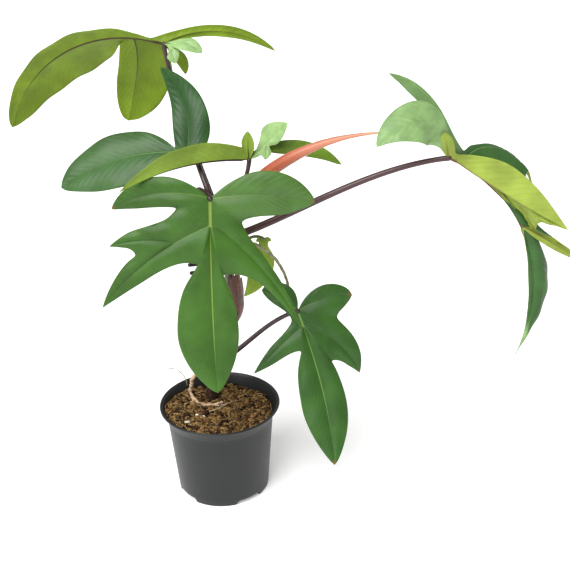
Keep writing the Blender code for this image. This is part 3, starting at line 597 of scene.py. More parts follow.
def widths_along(fraction, peak, taper, base):
    """Half width of a lobe as a share of its widest: a rise to the peak, then a rounded taper."""
    rise = base + (1 - base) * np.sin(np.pi / 2 * np.clip(fraction / peak, 0, 1))
    fall = np.cos(np.pi / 2 * np.clip((fraction - peak) / (1 - peak), 0, 1)) ** taper
    return rise * fall


def lay_ribs(leaf):
    """Every lobe's rib, and the sample of its parent that it leaves.

    A rib's columns are x, y, z, distance from the junction, radius, painted sheen and brown.
    """
    lobes = leaf["lobes"]
    ribs = [None] * len(lobes)
    joins = [0] * len(lobes)

    def lay(k):
        if ribs[k] is not None:
            return
        shape = lobes[k]
        start, before = np.array(leaf["junction"], float), 0.0
        if shape.parent is not None:
            lay(shape.parent)
            trunk = ribs[shape.parent]
            joins[k] = int(round(shape.at * (len(trunk) - 1)))
            start, before = trunk[joins[k], :3], trunk[joins[k], 3]
        curve = evenly(arc(start, shape.length, shape.first, shape.last),
                       max(8, int(round(shape.length / RIB_STEP)) + 1))
        distance = travelled(curve)
        left = distance[-1] - distance
        radius = shape.rib * (left / distance[-1]) ** 0.7
        brown = shape.brown * np.clip(1.4 - left / 4.0, 0, 1)
        # painted sheen, a painted reflection: the lobe's own amount, and 0.9 over its last tail
        # millimetres
        mint = np.maximum(shape.mint, 0.9 * np.clip((shape.tail - left) / 6.0, 0, 1))
        ribs[k] = np.column_stack([curve, before + distance, radius, mint, brown])

    for k in range(len(lobes)):
        lay(k)
    return ribs, joins


def side_directions(leaf, k, rib):
    """Unit vectors from a rib towards the lobe's left and right margins."""
    up = leaf["lobes"][k].up or leaf["up"]
    share = np.linspace(0, 1, len(rib))[:, None]
    up = np.array(up, float)
    if up.ndim == 2:
        up = up[0] * (1 - share) + up[1] * share
    along = unit(np.gradient(rib, axis=0))
    left = unit(np.cross(np.broadcast_to(unit(up), along.shape), along))
    normal = np.cross(along, left)
    fold_left, fold_right = np.radians(leaf["lobes"][k].fold)
    return (left * np.cos(fold_left) + normal * np.sin(fold_left),
            -left * np.cos(fold_right) + normal * np.sin(fold_right))


def margin(leaf, k, rib, side, sinus):
    """One side's margin from the sinus, or from the junction, out to the tip."""
    shape = leaf["lobes"][k]
    rib = rib[:, :3]
    fraction = np.linspace(0, 1, len(rib))
    base = 0.0 if sinus == leaf["junction"] else shape.base
    width = (shape.left, shape.right)[side] * widths_along(fraction, shape.peak, shape.taper, base)
    edge = rib + side_directions(leaf, k, rib)[side] * width[:, None]
    near = rib[:max(1, int(len(rib) * 0.7))]
    i = int(np.argmin(np.linalg.norm(near - sinus, axis=1)))
    ease = np.clip(1 - (fraction - fraction[i]) / (1 - fraction[i]), 0, 1) ** 6
    return (edge + (np.array(sinus) - edge[i]) * ease[:, None])[i:]


def junction_row(leaf, ribs):
    """The junction as a rib sample: no distance, and the radius of the thickest rib."""
    radius = max(rib[0, 4] for rib in ribs)
    return np.array([*leaf["junction"], 0.0, radius, 0.0, 0.0])


def route_to_junction(leaf, joins, ribs, k):
    """Samples from a lobe's tip down its rib, and its parents' ribs, to the junction."""
    rows = list(ribs[k][:0:-1])
    while leaf["lobes"][k].parent is not None:
        parent = leaf["lobes"][k].parent
        rows += list(ribs[parent][joins[k]:0:-1])
        k = parent
    return np.array(rows + [junction_row(leaf, ribs)])


def rib_route(leaf, joins, ribs, first, second):
    """Samples down one rib and up the next, and the index of the turning point."""
    def chain(k):
        steps = [(k, len(ribs[k]) - 1)]
        while leaf["lobes"][steps[-1][0]].parent is not None:
            steps.append((leaf["lobes"][steps[-1][0]].parent, joins[steps[-1][0]]))
        return steps

    down, up = chain(first), chain(second)
    shared = next((k for k, _ in down if k in [other for other, _ in up]), None)

    def walk(steps):
        rows = []
        for k, top in steps:
            if k == shared:
                return rows, top
            rows += list(ribs[k][top:0:-1])
        return rows, None

    left_part, left_top = walk(down)
    right_part, right_top = walk(up)
    if shared is None:
        middle = [junction_row(leaf, ribs)]
    elif left_top <= right_top:
        middle = list(ribs[shared][left_top:right_top + 1])
    else:
        middle = list(ribs[shared][right_top:left_top + 1])[::-1]
    turn = len(left_part) + (len(middle) - 1) // 2
    if shared == first:
        turn = len(left_part) + len(middle) - 1
    if shared == second:
        turn = len(left_part)
    return np.array(left_part + middle + right_part[::-1]), turn


def sector(leaf, inner, outer, bulge):
    """The blade between a rib route and its margin, with the values that colour it.

    A row runs straight from the rib to the margin, and the blade stands off it along its normal
    by bulge times the row's length times sin(pi share). Side veins are lines where the distance
    along the rib less VEIN_SLANT times the distance outward is a whole number of spacings; the
    blade dips in pleats along them, and its margin waves.
    """
    start = inner[:, :3]
    across = outer - start
    width = np.linalg.norm(across, axis=1)
    along = np.gradient(start * 0.5 + outer * 0.5, axis=0)
    normal = unit(soften(np.cross(along, across), ROW_SMOOTHING))[:, None]
    near = np.minimum(1.6 * inner[:, 4] / np.maximum(width, 1e-6), 0.35)[:, None]
    share = np.hstack([near * np.linspace(0, 1, RIB_COLUMNS)[None, :-1],
                       near + (1 - near) * np.linspace(0, 1, BLADE_COLUMNS + 1)[None]])
    outward_by = share * width[:, None]
    phase = (inner[:, 3:4] - VEIN_SLANT * outward_by) / VEIN_SPACING
    middle = np.sin(np.pi * share)
    lift = (bulge * width[:, None] * middle
            - leaf["pleat"] * np.cos(2 * np.pi * phase) * middle
            + leaf["wave"] * share ** 2 * np.clip(width[:, None] / 15, 0, 1)
            * np.sin(2 * np.pi * inner[:, 3:4] / WAVE_LENGTH + leaf["junction"][0]))
    grid = start[:, None] + across[:, None] * share[..., None] + normal * lift[..., None]
    rib = outward_by / np.maximum(inner[:, 4:5], 0.05)
    ones = np.ones_like(share)
    values = dict(rib=np.minimum(rib, 20), phase=phase, share=share, ridge=inner[:, 4:5] * ones,
                  mint=inner[:, 5:6] * ones, brown=inner[:, 6:7] * ones)
    return grid, values


def sinus_point(ribs, k, sinus):
    """The inner end of the cut between lobes k and k + 1."""
    first, second = [rib[int(round(share * (len(rib) - 1))), :3]
                     for rib, share in zip(ribs[k:k + 2], sinus)]
    return tuple(first + (second - first) * sinus[2])


def leaf_sectors(leaf, bulge):
    """All sectors of one blade, from one side of the petiole round to the other."""
    ribs, joins = lay_ribs(leaf)
    sectors = []
    for k, shares in enumerate(leaf["sinuses"]):
        sinus = sinus_point(ribs, k, shares)
        inner, turn = rib_route(leaf, joins, ribs, k, k + 1)
        before = evenly(margin(leaf, k, ribs[k], 1, sinus)[::-1], turn + 1)
        after = evenly(margin(leaf, k + 1, ribs[k + 1], 0, sinus), len(inner) - turn)
        outer = np.vstack([before[:-1], after])
        low, high = max(turn - 3, 0), min(turn + 4, len(inner))
        outer[low:high] = soften(outer[low:high], 4)
        mixed = inner.copy()
        mixed[1:-1, 5] = soften(inner, 8)[1:-1, 5]
        sectors.append(sector(leaf, mixed, outer, bulge))
    last = len(ribs) - 1
    inner = route_to_junction(leaf, joins, ribs, 0)[::-1]
    outer = margin(leaf, 0, ribs[0], 0, leaf["junction"])
    sectors.append(sector(leaf, inner, evenly(outer, len(inner)), bulge))
    inner = route_to_junction(leaf, joins, ribs, last)
    outer = margin(leaf, last, ribs[last], 1, leaf["junction"])[::-1]
    sectors.append(sector(leaf, inner, evenly(outer, len(inner)), bulge))
    return sectors


def make_leaf(name, looks):
    """One blade: its sectors welded, then given two skins with the ribs raised below."""
    leaf = LEAVES[name]
    sectors = leaf_sectors(leaf, looks.bulge)
    values = {key: [v[key] for _, v in sectors] for key in sectors[0][1]}
    points, values, quads, triangles = weld([grid for grid, _ in sectors], values)
    half = looks.thickness / MM / 2
    round_rib = np.sqrt(np.clip(1 - values["rib"] ** 2, 0, 1)) * values["ridge"]
    above = half - 0.22 * round_rib
    below = half + 0.9 * round_rib
    *surface, under = sheet_shell(points, values, quads, triangles, above, below)
    materials = [upper_skin(name, leaf, looks), under_skin(name, leaf, looks)]
    return make_piece(name + "_blade", surface, materials, [name], under)


# ---------------------------------------------------------------- materials

class Socket:
    """A node's output that takes part in Python arithmetic, adding Math nodes as it goes."""

    def __init__(self, net, output):
        self.net = net
        self.output = output

    def math(self, operation, *others):
        """This value and the others through one Math node."""
        inputs = dict(enumerate((self, *others)))
        return self.net.node("ShaderNodeMath", {"operation": operation}, inputs)

    def __add__(self, other):
        return self.math("ADD", other)

    def __sub__(self, other):
        return self.math("SUBTRACT", other)

    def __rsub__(self, other):
        return self.net.node("ShaderNodeMath", {"operation": "SUBTRACT"}, {0: other, 1: self})

    def __mul__(self, other):
        return self.math("MULTIPLY", other)

    def __pow__(self, other):
        return self.math("POWER", other)

    __radd__ = __add__
    __rmul__ = __mul__

    def clamped(self):
        """Kept between 0 and 1."""
        return self.net.node("ShaderNodeClamp", {}, {0: self})

    def step(self, low, high):
        """0 below low, 1 above high and a smooth rise between, or the reverse if low > high."""
        if low > high:
            return 1 - self.step(high, low)
        return self.net.node("ShaderNodeMapRange", {"interpolation_type": "SMOOTHSTEP"},
                             {0: self, 1: low, 2: high})


class Net:
    """A material and its nodes."""

    def __init__(self, name, roughness=0.5, **constants):
        self.material = bpy.data.materials.new(name)
        self.material.use_nodes = True
        self.tree = self.material.node_tree
        self.shader = self.tree.nodes["Principled BSDF"]
        self.shader.inputs["Roughness"].default_value = roughness
        for label, value in constants.items():
            self.shader.inputs[label.replace("_", " ")].default_value = value
        self.place = self.node("ShaderNodeTexCoord", output="Object")

    def node(self, kind, settings=None, inputs=None, output=0):
        """Any node: its settings, then the values or links of its sockets; gives one output."""
        node = self.tree.nodes.new(kind)
        for key, value in (settings or {}).items():
            if key == "stops":
                self.set_stops(node.color_ramp, value)
            else:
                setattr(node, key, value)
        for key, value in (inputs or {}).items():
            self.feed(node.inputs[key], value)
        return Socket(self, node.outputs[output])

    def set_stops(self, ramp, stops):
        """A colour ramp's stops, as (place, colour) pairs."""
        for k, (place, colour) in enumerate(stops):
            stop = ramp.elements[k] if k < 2 else ramp.elements.new(place)
            stop.position = place
            stop.color = (*colour, 1.0)

    def feed(self, socket, value):
        """Link a Socket to an input, or set a constant on it."""
        if isinstance(value, Socket):
            self.tree.links.new(value.output, socket)
        elif isinstance(value, tuple) and len(value) == 3 and socket.type == "RGBA":
            socket.default_value = (*value, 1.0)
        else:
            socket.default_value = value

    def value(self, attribute):
        """A number that the mesh stores at its points."""
        return self.node("ShaderNodeAttribute", {"attribute_name": attribute}, output="Fac")

    def noise(self, size, detail=3.0, where=None, roughness=0.55):
        """Noise whose blobs are about `size` millimetres across, from 0 to 1."""
        return self.node("ShaderNodeTexNoise", {}, {"Vector": where or self.place,
                         "Scale": 1 / (size * MM), "Detail": detail, "Roughness": roughness})

    def mix(self, factor, a, b):
        """Colour a turning into colour b as the factor goes from 0 to 1."""
        return self.node("ShaderNodeMix", {"data_type": "RGBA"}, {0: factor, 6: a, 7: b},
                         output=2)

    def mottled(self, pattern, colour, low, high):
        """A colour from `low` to `high` times as light as the pattern goes from 0 to 1."""
        return self.mix(pattern, shade(colour, low), shade(colour, high))

    def stretched(self, scale):
        """Object coordinates scaled along each axis."""
        return self.node("ShaderNodeVectorMath", {"operation": "MULTIPLY"},
                         {0: self.place, 1: scale})

    def bump(self, height, distance):
        """Feed a height in 0 to 1, worth `distance` millimetres, to the shader's normal."""
        bump = self.node("ShaderNodeBump", {}, {"Height": height, "Distance": distance * MM,
                                                "Strength": 1.0}, output="Normal")
        self.feed(self.shader.inputs["Normal"], bump)

    def finish(self, colour, roughness=None):
        """Feed the base colour, and the roughness if it varies; gives the material."""
        self.feed(self.shader.inputs["Base Color"], colour)
        if roughness is not None:
            self.feed(self.shader.inputs["Roughness"], roughness)
        return self.material


def shade(colour, factor):
    """A colour made lighter or darker."""
    return tuple(min(1.0, channel * factor) for channel in colour)


def side_veins(net, sharpness):
    """1 on the side veins, falling to 0 between them."""
    phase = net.value("phase") + (net.noise(26, 1.0) - 0.5) * 0.7
    ridge = phase.math("FRACT") - 0.5
    return (ridge.math("ABSOLUTE") * 2) ** sharpness


def fine_veins(net):
    """The net of finest veins: the walls of cells about a millimetre across, from 0 to 1."""
    cells = net.node("ShaderNodeTexVoronoi", {"feature": "DISTANCE_TO_EDGE"},
                     {"Vector": net.place, "Scale": 1 / (1.1 * MM)}, output="Distance")
    return cells.step(0.16, 0.0)


def upper_skin(name, leaf, looks):
    """The glossy upper side: cloudy green with a pale rib, faint side veins and dry tips.

    The palest lobes get a painted reflection: a painted mint sheen.
    """
    net = Net(name + "_upper", Coat_Roughness=0.25, Coat_Weight=0.05, Specular_IOR_Level=0.28)
    colour = net.mottled(net.noise(38, 2.0).step(0.35, 0.68), leaf["upper"], 0.82, 1.22)
    colour = net.mix(net.noise(9, 3.0).step(0.45, 0.8) * 0.3, colour, shade(leaf["upper"], 1.6))
    colour = net.mix(net.noise(55, 1.0).step(0.5, 0.75) * 0.55, colour, shade(leaf["upper"], 0.6))
    veins = side_veins(net, 14)
    fine = fine_veins(net)
    patchy = net.noise(26, 2.0).step(0.25, 0.7)
    colour = net.mix(veins * patchy * leaf["vein_show"], colour, shade(leaf["upper"], 1.8))
    colour = net.mix(fine * 0.2, colour, shade(leaf["upper"], 1.7))
    # painted sheen: a painted reflection turns the palest lobes mint, in clouds
    mint = net.value("mint")
    pale = net.mix(net.noise(14, 2.0).step(0.3, 0.7), looks.painted_sheen_colour[:],
                   shade(looks.painted_sheen_colour, 0.72))
    colour = net.mix(mint * 0.85, colour, pale)
    # painted sheen streaks: the painted reflection is lighter still along the side veins
    streak = side_veins(net, 4) * net.noise(16, 2.0).step(0.4, 0.7)
    colour = net.mix(mint * streak * 0.4, colour, shade(looks.painted_sheen_colour, 1.35))
    rib = net.value("rib").step(1.25, 0.55) * net.value("ridge").step(0.1, 0.9)
    colour = net.mix(rib * 0.85, colour, leaf["vein"])
    edge = net.value("share").step(0.965, 1.0)
    colour = net.mix(edge * 0.45, colour, shade(leaf["vein"], 1.1))
    colour = net.mix(net.value("brown") * 0.9, colour, looks.dry_colour[:])
    roughness = 0.3 + net.noise(20, 3.0) * 0.2 + veins * 0.05 + net.value("brown") * 0.3
    net.bump((veins * -0.6) + fine * 0.12 + net.noise(2.2, 3.0) * 0.25, 0.12)
    return net.finish(colour, roughness)


def under_skin(name, leaf, looks):
    """The silky underside: yellow-green, with darker side veins and a rib of its own colour.

    Its yellow-green is partly its own and partly painted light shining through the blade.
    """
    net = Net(name + "_under", Specular_IOR_Level=0.25)
    # the under colour: the underside's own paler green and painted light shining through the blade
    colour = net.mottled(net.noise(30, 2.0).step(0.32, 0.7), leaf["under"], 0.8, 1.15)
    veins = side_veins(net, 10)
    fine = fine_veins(net)
    colour = net.mix(veins * 0.3, colour, shade(leaf["under"], 0.55))
    colour = net.mix(fine * 0.12, colour, shade(leaf["under"], 0.6))
    rib = net.value("rib").step(1.3, 0.8) * net.value("ridge").step(0.1, 0.7)
    colour = net.mix(rib, colour, leaf["under_vein"])
    # painted sheen: the pale lobes' painted reflection, at half strength on their undersides
    colour = net.mix(net.value("mint") * 0.5, colour, looks.painted_sheen_colour[:])
    colour = net.mix(net.value("brown") * 0.9, colour, looks.dry_colour[:])
    roughness = 0.48 + net.noise(16, 3.0) * 0.15
    net.bump(veins * 0.8 + fine * 0.2 + net.noise(1.8, 3.0) * 0.2, 0.12)
    return net.finish(colour, roughness)


def stalk_skin(looks):
    """A leaf stalk: streaked near-black maroon, greener at the stem; one is light, one olive."""
    net = Net("stalk", Coat_Weight=0.15, Coat_Roughness=0.2)
    way = net.value("way")
    streak = net.noise(7, 3.0, net.stretched((1, 1, 0.25)))
    colour = net.mottled(streak.step(0.35, 0.7), looks.stalk_colour, 0.7, 1.7)
    colour = net.mix(net.value("light"), colour, looks.stalk_light[:])
    colour = net.mix(net.value("young") * 0.85, colour, shade(looks.stem_colour, 1.4))
    colour = net.mix(way.step(0.12, 0.0) * 0.6, colour, looks.stem_colour[:])
    net.bump(net.noise(1.6, 2.0), 0.08)
    return net.finish(colour, 0.32 + streak * 0.2)


def stem_skin(looks):
    """The stem: olive green between brown leaf scars, with corky flecks.

    Near the soil it turns dark: a woody base with painted shade under the front leaf.
    """
    net = Net("stem")
    colour = net.mottled(net.noise(9, 3.0).step(0.35, 0.7), looks.stem_colour, 0.6, 1.3)
    colour = net.mix(net.value("scar"), colour, looks.scar_colour[:])
    # darker towards the soil, below about 0.1 m: the woody base, with painted shade under the front
    # leaf
    height = net.node("ShaderNodeSeparateXYZ", {}, {0: net.place}, output=2)
    colour = net.mix(height.step(0.125, 0.098), colour, looks.stem_base_wood_and_shade[:])
    flecks = net.noise(1.8, 3.0, net.stretched((1, 1, 0.5))).step(0.6, 0.7)
    colour = net.mix(flecks * 0.5, colour, shade(looks.scar_colour, 1.6))
    net.bump(net.noise(1.4, 3.0) + flecks * 0.4, 0.2)
    return net.finish(colour, 0.5 + flecks * 0.25)


def root_skin(name, colour_low, colour_high):
    """Root bark: tan, with long darker streaks and a rough surface."""
    net = Net(name)
    streak = net.noise(3.5, 4.0)
    colour = net.mix(streak.step(0.3, 0.7), colour_low, colour_high)
    colour = net.mix(net.noise(1.0, 2.0).step(0.58, 0.75) * 0.5, colour, shade(colour_low, 0.4))
    net.bump(net.noise(0.9, 3.0), 0.25)
    return net.finish(colour, 0.7 + streak * 0.2)


def spike_skin(looks):
    """The rolled new leaf: orange red at the base, salmon on top and tan at its dry tip."""
    net = Net("new_leaf", Coat_Weight=0.25, Coat_Roughness=0.25)
    way = net.value("way")
    streak = net.noise(5, 3.0, net.stretched((0.35, 1, 1)))
    colour = net.mix(streak.step(0.3, 0.72), shade(looks.spike_colour, 0.78), looks.spike_colour[:])
    colour = net.mix(way.step(0.25, 0.85), colour, looks.spike_light[:])
    colour = net.mix(way.step(0.86, 1.0), colour, looks.spike_tip[:])
    colour = net.mix(net.value("seam") * 0.75, colour, shade(looks.spike_colour, 0.35))
    net.bump(net.noise(1.5, 2.0), 0.06)
    return net.finish(colour, 0.34 + streak * 0.15)


def sheath_skin(looks):
    """The dry sheath: red brown with long fibres, darker at the rim and with pale streaks.

    The dark top rim is painted shade and the pale streaks are a painted highlight.
    """
    net = Net("sheath", Coat_Weight=0.2, Coat_Roughness=0.3)
    fibre = net.noise(2.2, 4.0, net.stretched((1, 1, 0.12)))
    colour = net.mottled(fibre.step(0.3, 0.7), looks.sheath_colour, 0.5, 1.7)
    # painted highlight: pale pink streaks over the sheath's upper part
    painted_highlight = net.noise(5.0, 4.0, net.stretched((1, 1, 0.2))).step(0.6, 0.72)
    colour = net.mix(painted_highlight * net.value("way").step(0.35, 0.75), colour, looks.sheath_painted_highlight[:])
    # painted shade: the top rim darkened where its opening lies in shade
    rim = net.value("way").step(0.93, 1.0) * 0.7
    colour = net.mix(rim, colour, shade(looks.sheath_colour, 0.2))
    net.bump(fibre, 0.3)
    return net.finish(colour, 0.38 + fibre * 0.25)


def pot_skin(looks):
    """Moulded nursery plastic: satin near-black with a faint grain, scuffs and soil dust."""
    net = Net("pot_plastic", Specular_IOR_Level=0.4)
    grain = net.noise(0.7, 2.0)
    cloud = net.noise(30, 3.0)
    colour = net.mottled(cloud.step(0.35, 0.7), looks.colour, 0.88, 1.12)
    scuff = net.noise(4.0, 5.0, net.stretched((1, 1, 0.3))).step(0.66, 0.78)
    colour = net.mix(scuff * 0.25, colour, looks.scuff_colour[:])
    net.bump(grain, 0.05)
    return net.finish(colour, looks.roughness + cloud * 0.12 + scuff * 0.1)


def soil_skin(name, dark, mid, light, spread_by=0.0):
    """Coir and peat: brown blobs, tan flecks and near-black gaps."""
    net = Net(name, Specular_IOR_Level=0.2)
    tone = net.noise(5.5, 5.0, roughness=0.7)
    if spread_by:
        tone = (tone + (net.value("tone") - 0.5) * spread_by).clamped()
    colour = net.node("ShaderNodeValToRGB", {"stops": (
        (0.3, dark), (0.47, mid), (0.62, light), (0.75, shade(light, 1.5)))}, {0: tone})
    net.bump(net.noise(1.3, 5.0, roughness=0.7), 0.8)
    return net.finish(colour, 0.88 + net.noise(4, 2.0) * 0.1)


def plain_skin(name, colour, roughness, size, depth):
    """A matt finish with small dents about `size` across."""
    net = Net(name)
    mottle = net.noise(size, 3.0)
    net.bump(mottle, depth)
    return net.finish(net.mottled(mottle, colour, 0.8, 1.15), roughness + mottle * 0.1)


# ---------------------------------------------------------------- pot and soil

def wall_radius(sizes, height):
    """Outer radius of the pot's wall at a height: a taper, a small step and a curved flare."""
    rim, top, foot = (size / MM for size in (sizes.rim_radius, sizes.height, sizes.foot_radius))
    full = foot + TAPER * top + STEP_SIZE + LIP_RADIUS
    rise = np.clip((height - FLARE_START) / (top - FLARE_START), 0, 1)
    step = STEP_SIZE * np.clip((height - STEP_HEIGHT) / STEP_RISE, 0, 1)
    return foot + TAPER * height + (rim - full) * rise ** FLARE_POWER + step


def make_pot(sizes):
    """The pot: a profile turned about Z, with straight notches cut out of its foot.

    The profile runs out along the floor, up the inside, over the lip and down the outside. In
    a notch the wall ends `notch_height` above the ground and the underside steps down to it
    on a straight line across the foot.
    """
    rim, height, foot = (size / MM for size in (sizes.rim_radius, sizes.height, sizes.foot_radius))
    wall, lip = sizes.wall / MM, LIP_RADIUS
    angle = np.linspace(0, 2 * np.pi, POT_SIDES + 1)
    turn = np.radians(sizes.notch_turn)
    local = (angle - turn + np.pi / 4) % (np.pi / 2) - np.pi / 4
    half_width = np.arcsin(0.5 * sizes.notch_width / MM / foot)
    low = (sizes.notch_height / MM) * np.clip(
        (half_width - np.abs(local)) / NOTCH_SLOPE, 0, 1)
    inner_foot = np.minimum((foot - FOOT_RING) / np.cos(local), foot - FOOT_RING_LEAST)
    up = np.concatenate([[FLOOR], np.linspace(FLOOR + 1.5, FLARE_START - 2, 16),
                         np.linspace(FLARE_START, height - lip, 16)])

    def row(radius, level):
        """One ring of the profile: its radius and height at each angle."""
        return np.stack(np.broadcast_arrays(radius, level, angle)[:2])

    inside = [row(wall_radius(sizes, z) - wall, z) for z in up]
    bend = np.radians(np.linspace(*LIP_BEND, 10))
    over = [row(rim - lip + lip * np.cos(b), height - lip + lip * np.sin(b)) for b in bend]
    down = np.concatenate([np.linspace(height - 3.2, STEP_HEIGHT + 1.2, 12),
                           STEP_HEIGHT + np.array([0.8, 0.4, 0.0, -0.6]),
                           np.linspace(FLARE_START, 8, 18)])
    outside = [row(wall_radius(sizes, z), z) for z in down]
    ends = [row(wall_radius(sizes, low + 1.2), low + 1.2),
            row(wall_radius(sizes, low) - 0.3, low + 0.4),
            row(wall_radius(sizes, low) - 1.2, low), row(inner_foot + 0.2 * (low > 0), low),
            row(inner_foot, 0.0), row(20.0, 0.0), row(0.0, 0.0)]
    centre = [row(reach, FLOOR) for reach in (0.0, 25.0)]
    rows = np.stack(centre + inside + over + outside + ends)
    grid = np.stack([rows[:, 0] * np.cos(angle), rows[:, 0] * np.sin(angle), rows[:, 1]], axis=-1)
    grid[:, -1] = grid[:, 0]
    return closed_piece("pot_shell", [grid], pot_skin(sizes), ["pot"])


def soil_height(x, y):
    """Height of the soil's surface: a tilt, a few broad lumps and the hollow round the stem."""
    lumps = np.sin(x * 0.11 + 1.0) * np.cos(y * 0.13) + 0.5 * np.sin((x + y) * 0.21)
    at_x, at_y, radius, depth = SOIL_HOLLOW
    hollow = depth * np.exp(-((x - at_x) ** 2 + (y - at_y) ** 2) / radius ** 2)
    return SOIL_HEIGHT + SOIL_TILT[0] * x + SOIL_TILT[1] * y + SOIL_LUMP * lumps - hollow


def soil_edge(sizes, angle):
    """Radius at which the soil's surface meets the pot's wall, found by a few repeated tries."""
    edge = np.full(np.shape(angle), sizes.foot_radius / MM)
    for _ in range(6):
        height = soil_height(edge * np.cos(angle), edge * np.sin(angle))
        edge = wall_radius(sizes, height) - sizes.wall / MM - SOIL_GAP
    return edge


def make_soil_bed(sizes, looks):
    """The soil's body: rings out over a rough top, then down beside the wall and in below."""
    angle = np.linspace(0, 2 * np.pi, SOIL_SIDES + 1)
    edge = soil_edge(sizes, angle)
    share = np.linspace(0, 1, 92)[:, None]
    x, y = share * edge * np.cos(angle), share * edge * np.sin(angle)
    flat = np.stack([x, y, 0 * x], axis=-1)
    rough = (ripples(flat, 11, 1) * 0.7 + ripples(flat, 5, 2) * 0.5
             + np.abs(ripples(flat, 2.6, 3)) * 0.45 - 0.6) * (1 - share ** 16)
    top = np.stack([x, y, soil_height(x, y) + rough], axis=-1)
    depth = np.linspace(0, 1, 14)[1:, None]
    level = top[-1, :, 2] * (1 - depth) + (FLOOR + 1) * depth
    reach = wall_radius(sizes, level) - sizes.wall / MM - SOIL_GAP
    side = np.stack([reach * np.cos(angle), reach * np.sin(angle), level], axis=-1)
    middle = np.stack([0 * angle, 0 * angle, level[-1]], axis=-1)[None]
    grid = np.vstack([top, side, middle])
    grid[:, -1] = grid[:, 0]
    skin = soil_skin("soil_bed", looks.dark[:], looks.mid[:], looks.light[:])
    return closed_piece("soil_bed", [grid], skin, ["soil"])


def scattered(rng, count, sizes):
    """Random places on the soil, as x and y, even over its area."""
    share = SOIL_REACH * np.sqrt(rng.uniform(0, 1, count))
    angle = rng.uniform(0, 2 * np.pi, count)
    radius = share * soil_edge(sizes, angle)
    return radius * np.cos(angle), radius * np.sin(angle)


def make_fibres(sizes, looks):
    """Coir fibres: thin bent strands lying on the soil, each a small tube with pointed ends.

    A strand's middle line is a straight run of random heading bent sideways by a parabola; its
    height follows the soil, and its radius falls to nothing at both ends.
    """
    rng = np.random.default_rng(11)
    count, rows, sides = looks.fibre_count, 9, 4
    x, y = scattered(rng, count, sizes)
    bearing = rng.uniform(0, np.pi, count)
    span = rng.gamma(3.0, 2.4, count) + 2.0
    bend = rng.normal(0, 0.16, count) * span
    thick = rng.uniform(*FIBRE_RADII, count)
    t = np.linspace(-1, 1, rows)
    run = t[None] * span[:, None] / 2
    off = bend[:, None] * (1 - t[None] ** 2)
    px = x[:, None] + run * np.cos(bearing)[:, None] - off * np.sin(bearing)[:, None]
    py = y[:, None] + run * np.sin(bearing)[:, None] + off * np.cos(bearing)[:, None]
    reach = np.hypot(px, py)
    inside = soil_edge(sizes, np.arctan2(py, px)) - 1.0
    limit = np.minimum(1, inside / np.maximum(reach, 1e-6))
    px, py = px * limit, py * limit
    lift = rng.uniform(*FIBRE_LIFTS, count)[:, None] * (1 - 0.7 * t[None] ** 2)
    pz = soil_height(px, py) + lift + rng.normal(0, 0.25, (count, 1)) * t[None]
    radius = thick[:, None] * np.sqrt(1 - t[None] ** 2)
    angle = np.linspace(0, 2 * np.pi, sides + 1)
    across = np.stack([-np.sin(bearing), np.cos(bearing), 0 * bearing], axis=-1)[:, None, None]
    upward = np.array([0, 0, 1.0])
    ring = across * np.cos(angle)[:, None] + upward * np.sin(angle)[:, None]
    grid = np.stack([px, py, pz], axis=-1)[:, :, None] + ring * radius[:, :, None, None]
    tone = np.repeat(rng.uniform(0, 1, count), rows * (sides + 1))
    skin = soil_skin("coir_fibre", looks.mid[:], looks.light[:], looks.fibre[:], 0.55)
    return closed_piece("coir_fibres", [grid], skin, (), {"tone": [tone]})


def make_crumbs(sizes, looks):
    """Crumbs and bark chips: squashed balls of five rows by six sides, randomly turned."""
    rng = np.random.default_rng(12)
    count, rows, sides = looks.crumb_count, 6, 6
    x, y = scattered(rng, count, sizes)
    size = rng.gamma(2.2, 0.42, count) + 0.35
    axes = np.linalg.qr(rng.normal(size=(count, 3, 3)))[0]
    stretch = rng.uniform(*CRUMB_STRETCH, (count, 3)) * size[:, None]
    ball = ball_grid(rows, sides + 1)
    dent = 1 + 0.18 * np.sin(3 * ball[..., :1] + 2 * ball[..., 1:2] + 1.0)
    grid = np.einsum("rsk,nk,nkj->nrsj", ball * dent, stretch, axes)
    grid += np.stack([x, y, soil_height(x, y) + 0.25 * size], axis=-1)[:, None, None]
    grid[:, :, -1] = grid[:, :, 0]
    tone = np.repeat(rng.uniform(0, 1, count), rows * (sides + 1))
    skin = soil_skin("soil_crumb", looks.dark[:], looks.mid[:], looks.light[:], 0.6)
    return closed_piece("soil_crumbs", [grid], skin, (), {"tone": [tone]})


def make_grains(looks):
    """White grains and the pale flake: dented balls, the flake pressed flat."""
    for k, (name, (distance, bearing, size)) in enumerate(GRAINS.items()):
        x, y, _ = heading(bearing, 0.0) * distance
        ball = ball_grid(15, 25)
        ball *= 1 + 0.07 * ripples(ball, 1.3, 20 + k)[..., None]
        if name == "bark_flake":
            ball = ball * (1.5, 0.8, 0.45)
        grid = ball * size + (x, y, soil_height(x, y) + size * 0.8)
        grid[:, -1] = grid[:, 0]
        skin = plain_skin(name, looks.flake[:] if name == "bark_flake" else looks.grain[:],
                          0.75, 0.9, 0.15)
        closed_piece(name + "_lump", [grid], skin, [name])


# ---------------------------------------------------------------- stem, stalks and roots

